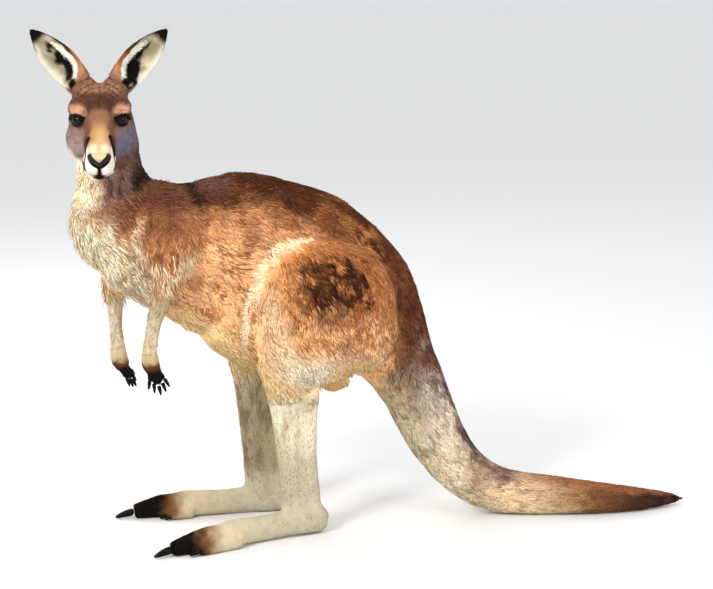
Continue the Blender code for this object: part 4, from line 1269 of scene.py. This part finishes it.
def ear_shell(side, node, name):
    shell = solid_copy(node, name)
    shell.data.name = name
    apply_modifier(shell, "SUBSURF", levels=2, render_levels=2)
    stand, look = ear_axes(side)[1:3]
    spots, outward = points_of(shell.data), normals_of(shell.data)
    tall, wide = ear_view(spots, side)
    inner = ramp(outward @ look, .2, .6) * ramp(tall, .05, .2) * (1 - ramp(tall, .75, .95))
    ridges = np.cos(wide * 9.0 + 1.2 * tall) * .0009 * inner
    sunk = .010 * (1 - ramp(tall, 0.0, .05))
    shell_spots = spots + outward * ridges[:, None] - stand * sunk[:, None]
    move_to(shell.data, shell_spots)
    paint_on(shell.data, paint_ear(shell_spots, normals_of(shell.data), side))
    only(shell)
    bpy.ops.object.shade_smooth()
    dress(shell, SKIN_FINISH, "ear", node)
    return shell


ears = {}
for side, node, name in ((1, "ear_left", "ear_shell_left"), (-1, "ear_right", "ear_shell_right")):
    ears[side] = ear_shell(side, node, name)
    tall, wide = ear_view(points_of(ears[side].data), side)
    print(name, "height", tall.min().round(2), "to", tall.max().round(2), "half width", wide.max().round(2))

# %% [markdown]
# ## Claws
#
# The claws are horn, black and curved, with paler blots on the faces that
# point up. Their solids have the right shape but are faceted, so all the
# finger claws are copied, merged, rounded by subdivision and joined, and the
# toe claws likewise.

# %% Claws
def claws(wanted, name):
    chosen = sorted(node for node in nodes if node.startswith(wanted))
    copies = []
    for node in chosen:
        claw = solid_copy(node, "claw_" + node)
        apply_modifier(claw, "SUBSURF", levels=2, render_levels=2)
        copies.append(claw)
    horn = joined(copies, name)
    spots = points_of(horn.data)
    horn_paint = Paint(plain(len(spots), 16, 12, 10))
    # Paler blots on the faces that point up.
    horn_paint(62, 46, 36, .5 * blots(spots, .006, 111, .52, .66)
               * ramp(normals_of(horn.data)[:, 2], .2, .9))
    paint_on(horn.data, horn_paint.tint)
    only(horn)
    bpy.ops.object.shade_smooth()
    dress(horn, CLAW_FINISH, "claw", *chosen)
    print(name, "from", len(chosen), "solids, faces:", len(triangles_of(horn.data)))


claws("finger_claw", "claws_of_the_hands")
claws("toe_claw", "claws_of_the_feet")

# %% [markdown]
# ## Lie of the coat
#
# Hair lies from the nose back over the head, down the neck, back along the
# trunk, down the limbs to the toes and out to the tip of the tail. Each part
# gets a direction from the line it follows, the part weights blend them, and
# the result is laid flat on the skin. A slow noise sways it, so that locks
# swirl gently instead of standing in rows.

# %% Direction of the hair
def lie_of_coat(spots, outward, table):
    d = spots - PLACE
    left = d[:, 0:1] > 0
    part = parts_of(table)
    spine = follow(d, TRUNK)[3]
    level = np.zeros((len(d), 3))
    arm = np.where(left, follow(d, ARM_LEFT)[3], follow(d, ARM_RIGHT)[3])
    leg = np.where(left, follow(d, LEG_LEFT)[3], follow(d, LEG_RIGHT)[3])
    way = np.zeros((len(d), 3))
    for lean, share in ((level + (0, .85, -.50), part["chest"] + part["abdomen"]),
                        (spine + (0, 0, -.35), part["pelvis"]),
                        (level + (0, -.3, -1.0), part["scrotum"]), (level + (0, .38, -.90), part["thigh"]),
                        (spine, summed(part, *TAIL)),
                        (follow(d, NECK)[3] + (0, .25, -.10), part["neck"]),
                        (arm, part["upper_arm"] + part["forearm"] + part["hand"]),
                        (leg, part["shank"] + part["foot"] + part["toes"])):
        way += unit(lean) * share[:, None]
    local = head_view(spots)
    outwards = np.sign(local[:, 1]) * .35 * ramp(np.abs(local[:, 1]), 0.0, .02)
    down = -.30 * ramp(.02 - local[:, 2], 0, .06)
    way += unit(turned_out(np.stack((-np.ones(len(d)), outwards, down), 1))) * part["head"][:, None]
    loose = summed(part, "chest", "abdomen", "pelvis", "thigh", "neck").clip(0, 1)
    strength = .30 + 1.1 * loose - .25 * part["head"]
    return unit(without(unit(way) + sway(d, .055, 121) * strength[:, None], outward))


skin_normals = normals_of(skin.data)
sample = lie_of_coat(skin_spots[:5], skin_normals[:5], weights[:5])
print("hair lies flat on the skin:", np.abs((sample * skin_normals[:5]).sum(1)).max().round(4))

# %% [markdown]
# ## Tufts
#
# Hair by hair, a kangaroo's coat would be millions of strands. A tuft stands
# for the few dozen hairs that lie together: a slim, pointed, three-sided lock
# rooted just under the skin, rising a little and bending back to it. Roots
# are scattered one to each small cell of space, which spreads them evenly.
# Every tuft gets its own length, turn and tone, and a small square of the
# OFBake map at its root's place on an unwrapped body.

# %% Scatter roots and build tufts
SKIN_TRIANGLES = triangles_of(skin.data)


def scatter(spots, triangles, spacing, rng):
    """Evenly spread places on triangles: which triangle, and the three corner shares."""
    a, b, c = (spots[triangles[:, k]] for k in range(3))
    area = np.linalg.norm(np.cross(b - a, c - a), axis=1) / 2
    count = int(area.sum() / spacing ** 2 * 3)
    chosen = np.searchsorted(np.cumsum(area), rng.random(count) * area.sum()).clip(0, len(area) - 1)
    first, second = np.sqrt(rng.random(count)), rng.random(count)
    shares = np.stack((1 - first, first * (1 - second), first * second), 1)
    where = (spots[triangles[chosen]] * shares[:, :, None]).sum(1)
    cells = np.floor(where / (spacing * 1.15)).astype(np.int64)
    keys = (cells[:, 0] * 73856093) ^ (cells[:, 1] * 19349663) ^ (cells[:, 2] * 83492791)
    kept = np.sort(np.unique(keys, return_index=True)[1])
    return chosen[kept], shares[kept]


def spread(triangles, spacing, rng, spots, *fields):
    """The points of evenly spread places on triangles, and the values of the fields there."""
    chosen, shares = scatter(spots, triangles, spacing, rng)
    corners = triangles[chosen]
    return [(field[corners] * shares[:, :, None]).sum(1) for field in (spots, *fields)]


# A tuft's corners: left, right and top at the root, the same halfway, and the tip.
TUFT_FACES = np.array(((0, 3, 5), (0, 5, 2), (2, 5, 4), (2, 4, 1), (1, 4, 3), (1, 3, 0),
                       (3, 6, 5), (5, 6, 4), (4, 6, 3), (0, 2, 1)))
TUFT_PATCH = np.array(((-.0012, -.0014), (.0012, -.0014), (.0002, -.0017),
                       (-.0012, .0000), (.0012, .0000), (.0002, .0004), (.0000, .0015)))
# Painted shade and light along each tuft: darker and warmer at the root, lighter at the tip.
SHADE = np.array((.84, .84, .88, .98, .98, 1.03, 1.10))
ROOT_SHADE_WARMTH = np.array(((.98, .90, .80),) * 3 + ((1.0, .98, .95),) * 3 + ((1.0, 1.0, 1.0),))
ROOT_DEPTH, HAIR_ABOVE_FLOOR = .0010, .0004


def build_tufts(name, root, outward, lie, length, width, lift, tint, unwrap, rng, curl=.45):
    """One mesh of tufts, one row of each array for each tuft. Sizes may be one number; lift is in degrees."""
    count = len(root)
    width = np.broadcast_to(width, count)
    turn = rng.normal(0, math.radians(9), count)
    right = np.cross(outward, lie)
    lie = lie * np.cos(turn)[:, None] + right * np.sin(turn)[:, None]
    right = np.cross(outward, lie)
    length = length * rng.uniform(.72, 1.28, count)
    rise = np.radians(lift * rng.uniform(.6, 1.35, count))

    def along_lie(angle, reach):
        """A step along the lie of the hair, raised by an angle."""
        return (lie * np.cos(angle)[:, None] + outward * np.sin(angle)[:, None]) * reach[:, None]

    base = root - outward * ROOT_DEPTH
    middle = base + along_lie(rise, .48 * length)
    bend = right * (rng.normal(0, .10, count) * length)[:, None]
    tip = middle + along_lie(rise * curl, .52 * length) + bend
    half, tall = (width / 2)[:, None], (width * .22)[:, None]
    corners = np.stack((base - right * half * .6, base + right * half * .6, base + outward * tall * .6,
                        middle - right * half, middle + right * half, middle + outward * tall, tip), 1)
    corners[:, :, 2] = np.maximum(corners[:, :, 2], HAIR_ABOVE_FLOOR)
    mesh = bpy.data.meshes.new(name)
    mesh.vertices.add(count * 7)
    mesh.vertices.foreach_set("co", corners.astype(np.float32).ravel())
    faces = (TUFT_FACES[None] + np.arange(count)[:, None, None] * 7).reshape(-1, 3)
    mesh.loops.add(faces.size)
    mesh.loops.foreach_set("vertex_index", faces.ravel().astype(np.int32))
    mesh.polygons.add(len(faces))
    mesh.polygons.foreach_set("loop_start", np.arange(0, faces.size, 3, dtype=np.int32))
    mesh.update(calc_edges=True)
    mesh.polygons.foreach_set("use_smooth", np.ones(len(faces), bool))
    own = tint * (rng.uniform(.86, 1.14, count) * np.where(rng.random(count) < .06, .78, 1.0))[:, None]
    # Each tuft's tone, with painted shade at its root and painted light at its tip.
    paint_on(mesh, (own[:, None, :] * SHADE[None, :, None] * ROOT_SHADE_WARMTH[None]).reshape(-1, 3))
    layer = mesh.uv_layers.new(name="OFBake")
    place = (unwrap[:, None, :] + TUFT_PATCH[None]).reshape(-1, 2)[faces.ravel()]
    layer.data.foreach_set("uv", place.astype(np.float32).ravel())
    return new_piece(name, mesh)


print("a tuft has", len(TUFT_FACES), "faces")

# %% [markdown]
# ## The unwrap
#
# OFBake is the map that a baked copy of the coat's colours would use. Each
# part of the body is rolled out like a sleeve: the angle round its line runs
# one way and the distance along it the other. Left and right limbs take
# half the map each, so no two tufts of different places share a spot.

# %% Roll the body out
def sleeve(d, path):
    """Angle round a path from 0 to 1, and the distance along it from 0 to 1."""
    along, foot, lean = follow(d, path)[1:]
    side = unit(np.cross(lean, (0.0, .35, .94)))
    top = np.cross(side, lean)
    reach = d - foot
    angle = np.arctan2((reach * side).sum(1), (reach * top).sum(1)) / (2 * math.pi) + .5
    return angle, along


def fill_map(first, second):
    """Stretches both directions to fill the map."""
    def stretch(value):
        low, high = value.min(), value.max()
        return .004 + .992 * (value - low) / max(high - low, 1e-6)
    return np.stack((stretch(first), stretch(second)), 1)


def unwrap_pair(d, path_left, path_right):
    angle_left, along_left = sleeve(d, path_left)
    angle_right, along_right = sleeve(d, path_right)
    left = d[:, 0] > 0
    low_l, low_r = along_left[left].min(), along_right[~left].min()
    angle = np.where(left, .52 + .48 * angle_left, .48 * angle_right)
    return fill_map(angle, np.where(left, along_left - low_l, along_right - low_r))


def head_map(d):
    f, s, u = head_view(d + PLACE).T
    angle = np.arctan2(s, u + .01) / (2 * math.pi) + .5
    return fill_map(angle, f + .25 * np.hypot(s, u + .01) * -1.0)


def neck_map(d):
    return fill_map(*sleeve(d, NECK))


def trunk_map(d):
    return fill_map(*sleeve(d, TRUNK))


def arm_map(d):
    return unwrap_pair(d, ARM_LEFT, ARM_RIGHT)


def leg_map(d):
    return unwrap_pair(d, LEG_LEFT, LEG_RIGHT)


print("unwrap ready")

# %% [markdown]
# ## The coat, piece by piece
#
# The coat is made in pieces, because each must stay light enough to handle.
# A piece takes the triangles of the skin where its parts are strongest,
# scatters roots over them, and reads length, width and lift from the coat
# table by the same weights that lowered the skin.

# %% Grow the coat
STRONGEST = np.array(FLESH)[weights[:, :len(FLESH)].argmax(1)]
TRIANGLE_PART = STRONGEST[SKIN_TRIANGLES[:, 0]]
TRIANGLE_LEFT = skin_spots[SKIN_TRIANGLES[:, 0], 0] - PLACE[0] > 0


def sided(*names):
    return [name + side for name in names for side in ("_left", "_right")]


def roots_on_skin(parts, spacing, rng, which=True):
    """Roots, outward directions and part weights, spread over the skin of some parts."""
    picked = np.isin(TRIANGLE_PART, parts) & which
    root, outward, table = spread(SKIN_TRIANGLES[picked], spacing, rng, skin_spots, skin_normals, weights)
    return root, unit(outward), table


SOLE_TOP, FACING_DOWN = .004, -.3
BARE_LIDS = 1.20  # times the eye's opening
BARE_NOSE = (.016, .0275, .0170)
WEDGE_SLOPE, WEDGE_FOOT = 1.25, -.0155
BARE_LIPS = .0016
FACE_SHORTER, FACE_SLIMMER = .62, .40


def bare(local, outward, height, on_face):
    """Where no hair may grow: soles, eye openings, the leather of the nose, the mouth line and the cleft."""
    hidden = (height < SOLE_TOP) & (outward[:, 2] < FACING_DOWN)
    for side in (1, -1):
        sideways, up, away = eye_angles(local, side)
        hidden |= on_face & (away < EYE_RADIUS * 1.6) & (opening(sideways, up) < BARE_LIDS)
    leather = (((local - NOSE_AT) / BARE_NOSE) ** 2).sum(1) < 1.0
    hidden |= on_face & leather & (np.abs(local[:, 1]) > WEDGE_SLOPE * (local[:, 2] - WEDGE_FOOT))
    for path in MOUTH + [CLEFT]:
        hidden |= on_face & (follow(local, path)[0] < BARE_LIPS)
    return hidden


def grow(name, parts, spacing, unwrap, seed, which=True):
    """Grows one piece of the coat on the skin of some parts, its roots about so many metres apart."""
    rng = np.random.default_rng(seed)
    root, outward, table = roots_on_skin(parts, spacing, rng, which)
    local = head_view(root)
    hidden = bare(local, outward, root[:, 2], table[:, SLOT_OF["head"]] > .5)
    root, outward, table, local = root[~hidden], outward[~hidden], table[~hidden], local[~hidden]
    length, width, lift = coat_size(table).T[:3]
    face_share = ramp(table[:, SLOT_OF["head"]], .5, .9)
    near_nose = 1 - ramp(np.linalg.norm(local - (.13, 0, -.02), axis=1), .03, .15)
    length = length * (1 - FACE_SHORTER * face_share * near_nose)
    width = width * (1 - FACE_SLIMMER * face_share * near_nose)
    lie = lie_of_coat(root, outward, table)
    tint = paint(root, outward, table)
    coat = build_tufts(name, root, outward, lie, length, width, lift, tint, unwrap(root - PLACE), rng)
    dress(coat, COAT_FINISH, "coat")
    print(name, "tufts:", len(root), "faces:", len(coat.data.polygons))


SIDE_PARTS = ["abdomen", "pelvis", "scrotum"]
grow("coat_of_the_head", ["head"], .0025, head_map, seed=1)
grow("coat_of_the_neck", ["neck"], .0038, neck_map, seed=2)
grow("coat_of_the_chest", ["chest"], .0042, trunk_map, seed=3)
grow("coat_of_the_arms", sided("upper_arm", "forearm", "hand"), .0030, arm_map, seed=4)
grow("coat_of_the_left_flank", SIDE_PARTS, .0043, trunk_map, seed=5, which=TRIANGLE_LEFT)
grow("coat_of_the_right_flank", SIDE_PARTS, .0043, trunk_map, seed=6, which=~TRIANGLE_LEFT)
grow("coat_of_the_thighs", sided("thigh"), .0042, leg_map, seed=7)
grow("coat_of_the_legs", sided("shank", "foot", "toes"), .0038, leg_map, seed=8)
grow("coat_of_the_tail", TAIL, .0043, trunk_map, seed=9)

# %% [markdown]
# ## Longer locks
#
# Under the short coat a kangaroo has longer guard hairs that show as loose
# locks: a ragged cream edge along the front of the thigh, shaggy hair that
# hangs from the chest and the back of the upper arm over the thin forearm,
# and scattered darker and paler locks over the trunk. They are the same
# tufts, larger and fewer, with more lift and more curl.

# %% Ragged edges and shag
def finish_locks(name, root, outward, lie, length, width, lift, tint, unwrap, seed, curl=.45):
    lie = unit(without(lie, outward))
    rng = np.random.default_rng(seed)
    locks = build_tufts(name, root, outward, lie, length, width, lift, tint, unwrap, rng, curl)
    dress(locks, COAT_FINISH, "coat")
    print(name, "locks:", len(root))


EDGE_BAND, EDGE_LOW, EDGE_HIGH = .008, .460, .762
rng = np.random.default_rng(21)
root, outward, table = roots_on_skin(sided("thigh") + ["pelvis", "abdomen"], .0020, rng)
d = root - PLACE
away, _, _, lean = follow(mirrored_to_left(d) * FROM_THE_SIDE, THIGH_EDGE * FROM_THE_SIDE)
kept = (away < EDGE_BAND) & (d[:, 2] > EDGE_LOW) & (d[:, 2] < EDGE_HIGH) & (np.abs(outward[:, 0]) > .3)
root, outward, lean, d = root[kept], outward[kept], lean[kept], d[kept]
ahead = np.stack((np.zeros(len(lean)), -lean[:, 2], lean[:, 1]), 1)
lie = ahead * .9 - lean * (.15, 1, 1) * .55 + sway(d, .022, 131) * .8
cream = Paint(plain(len(d), 250, 230, 194))
cream(232, 190, 138, blots(d, .012, 134, .56, .66) * .7)
finish_locks("ragged_edge_of_the_thighs", root, outward, lie, length=.021, width=.0028, lift=15.0,
             tint=cream.tint, unwrap=leg_map(d), seed=22)

rng = np.random.default_rng(23)
root, outward, table = roots_on_skin(sided("upper_arm", "forearm") + ["chest"], .0042, rng)
d = root - PLACE
arm_share = share_of(table, "upper_arm")
low_edge = ramp(d[:, 2], .625, .650) * (1 - ramp(d[:, 2], .70, .74))
behind = ramp(outward[:, 1], -.1, .4)
chance = np.maximum(arm_share * np.maximum(behind * (d[:, 2] < .80), low_edge),
                    share_of(table, "chest") * ramp(-d[:, 1], .38, .46) * .55)
kept = rng.random(len(d)) < chance
root, outward, table, d = root[kept], outward[kept], table[kept], d[kept]
lie = lie_of_coat(root, outward, table) + (0, .35, -.5) + sway(d, .026, 141) * 1.2
pale = share_of(table, "upper_arm") * blots(d, .018, 144, .40, .55) * .75 * ramp(.78 - d[:, 2], 0, .03)
tint = lay(paint(root, outward, table), tone(250, 228, 188), pale)
finish_locks("shag_of_the_shoulders", root, outward, lie, length=.032, width=.0042, lift=17.0,
             tint=tint, unwrap=trunk_map(d), seed=24)

# %% Scattered guard hair
rng = np.random.default_rng(25)
trunk_parts = sided("thigh") + ["pelvis", "abdomen", "chest", "neck"]
root, outward, table = roots_on_skin(trunk_parts, .0098, rng)
d = root - PLACE
lie = lie_of_coat(root, outward, table) + sway(d, .045, 151) * 2.2
tint = paint(root, outward, table)
pick = rng.random(len(d))
dark = np.array((.62, .46, .36))
tint = np.where((pick < .42)[:, None], tint * dark, tint * np.where(pick < .72, 1.18, .9)[:, None])
length, width, lift = coat_size(table).T[:3]
width = width * rng.uniform(.5, .95, len(d))
finish_locks("guard_hair", root, outward, lie, length=length * 1.35, width=width, lift=lift * 1.10,
             tint=tint, unwrap=trunk_map(d), seed=26, curl=.20)

# %% [markdown]
# ## Ear hair and lashes
#
# Fine hair covers the backs of the ears and hides the seam at their roots,
# and a white fringe stands across the hollow from the inner edge. The upper
# lid carries a dense dark brush of lashes that runs on past the outer
# corner, which gives a kangaroo its sleepy look.

# %% Ear hair
def roots_on_ear(side, spacing, rng):
    """Roots, outward directions, height and width in the ear, spread over its shell."""
    mesh = ears[side].data
    root, outward = spread(triangles_of(mesh), spacing, rng, points_of(mesh), normals_of(mesh))
    return root, unit(outward), *ear_view(root, side)


def finish_hair(name, found, finish, slot, rng):
    """One piece of tufts from the rows found on both sides."""
    *rows, place = (np.concatenate(column) for column in zip(*found))
    hair = build_tufts(name, *rows, fill_map(*place.T), rng)
    dress(hair, finish, slot)
    print(name, "tufts:", len(place))


def ear_coat():
    rng = np.random.default_rng(31)
    found = []
    for side in (1, -1):
        root, outward, tall, wide = roots_on_ear(side, .0026, rng)
        stand, look, outer = ear_axes(side)[1:]
        front = outward @ look > .1
        kept = (~front) | (rng.random(len(tall)) < .30)
        root, outward, tall, wide, front = (values[kept] for values in (root, outward, tall, wide, front))
        base = tall < .10
        lie = unit(without(stand + outer * (np.sign(wide) * .25)[:, None], outward))
        length = np.where(base, .0100, .0060) * np.where(front, .7, 1.0)
        place = np.stack((wide * .4 + side * .6, tall + 1.15 * front), 1)
        found.append((root, outward, lie, length, np.full(len(root), .0017), np.where(base, 16.0, 9.0),
                      paint_ear(root, outward, side), place))
    finish_hair("coat_of_the_ears", found, COAT_FINISH, "ear", rng)


def ear_fringe():
    rng = np.random.default_rng(33)
    found = []
    for side in (1, -1):
        root, outward, tall, wide = roots_on_ear(side, .0017, rng)
        stand, look, outer = ear_axes(side)[1:]
        across = wide / ear_half_width(tall)
        kept = (outward @ look > .15) & (across > -.55) & (across < -.34) & (tall > .06) & (tall < .66)
        root, outward, tall, wide = root[kept], outward[kept], tall[kept], wide[kept]
        count = len(root)
        lie = outer * .85 + stand * .45 + look * .25 + rng.normal(0, .16, (count, 3))
        place = np.stack((wide * .4 + side * .6, tall), 1)
        found.append((root, outward, unit(without(lie, outward)), .0125 * (1 - .35 * tall),
                      np.full(count, .0016), np.full(count, 20.0), plain(count, 250, 246, 232), place))
    finish_hair("fringe_of_the_ears", found, COAT_FINISH, "ear", rng)


ear_coat()
ear_fringe()

# %% Lashes
def lashes():
    rng = np.random.default_rng(35)
    found = []
    for side in (1, -1):
        centre, _, across, up = eye_axes(side)
        turn = np.radians(np.concatenate((rng.uniform(2, 170, 210), rng.uniform(-6, 40, 90))))
        swell = rng.uniform(.98, 1.16, len(turn))
        near = np.array([on_opening(side, a, w, .0024) for a, w in zip(turn, swell)])
        ray = unit(near - centre)
        outer_share = ramp(np.cos(turn), .2, 1.0)
        lie = (ray * .55 + across * (np.cos(turn) * .55 + .45 * outer_share)[:, None]
               + up * (.20 - .12 * outer_share)[:, None])
        root, ray, lie = turned_out(near) + HEAD_SPOT, turned_out(ray), turned_out(unit(lie))
        lie = unit(lie - .55 * (lie * ray).sum(1)[:, None] * ray)
        count = len(root)
        place = np.stack((np.cos(turn) + side * 1.3, swell), 1)
        found.append((root, unit(without(ray, lie)), lie, .0050 + .0055 * outer_share,
                      np.full(count, .0009), np.full(count, 8.0), plain(count, 10, 7, 6), place))
    finish_hair("lashes", found, LID_FINISH, "coat", rng)


lashes()

# %% [markdown]
# ## Floor, light and camera
#
# A still model is shown plainly: a wide pale floor, a pale sky that lights
# it from all round, one broad soft lamp from the front left and two weaker
# ones to round off the far side and lift the edge of the back. The camera
# stands six metres away, a little above the back, so the legs don't spread.

# %% Floor
floor = primitive("studio_floor", "plane", size=120)
floor_finish = bpy.data.materials.new("Pale floor")
floor_finish.use_nodes = True
set_inputs(floor_finish.node_tree.nodes["Principled BSDF"], Base_Color=(.80, .80, .80, 1), Roughness=.9)
floor.data.materials.append(floor_finish)
print("floor added")

# %% Lights
def soft_lamp(name, at, aim, size, power, colour):
    bpy.ops.object.light_add(type="AREA", location=at)
    lamp = bpy.context.object
    lamp.name = name
    lamp.data.shape = "RECTANGLE"
    lamp.data.size, lamp.data.size_y = size
    lamp.data.energy = power
    lamp.data.color = colour
    lamp.rotation_euler = (Vector(aim) - Vector(at)).to_track_quat("-Z", "Y").to_euler()
    return lamp


WARM_WHITE = (1.0, .98, .95)
soft_lamp("key_lamp", at=(3.2, -4.2, 3.6), aim=(0, -.2, .6), size=(1.3, 1.3), power=230,
          colour=(1.0, .97, .93))
soft_lamp("fill_lamp", at=(4.4, 3.0, 2.4), aim=(0, .1, .5), size=(3.0, 2.2), power=110, colour=WARM_WHITE)
soft_lamp("far_lamp", at=(-3.6, -1.0, 3.4), aim=(0, 0, .7), size=(2.6, 2.0), power=55, colour=WARM_WHITE)
sky = bpy.data.worlds.new("Pale sky")
sky.use_nodes = True
set_inputs(sky.node_tree.nodes["Background"], Color=(.96, .98, 1.0, 1), Strength=.92)
bpy.context.scene.world = sky
bpy.context.scene.view_settings.view_transform = "Standard"
print("lamps and sky added")

# %% Camera
TARGET = Vector((-.0106, -.0251, .5950))
bpy.ops.object.camera_add(location=(5.6090, -1.8510, 1.6369))
camera = bpy.context.object
camera.name = "camera"
camera.rotation_euler = (TARGET - camera.location).to_track_quat("-Z", "Y").to_euler()
camera.data.lens = 116.52
camera.data.sensor_width = 36.0
camera.data.clip_end = 300
bpy.context.scene.camera = camera
print("camera", round((TARGET - camera.location).length, 2), "m away")
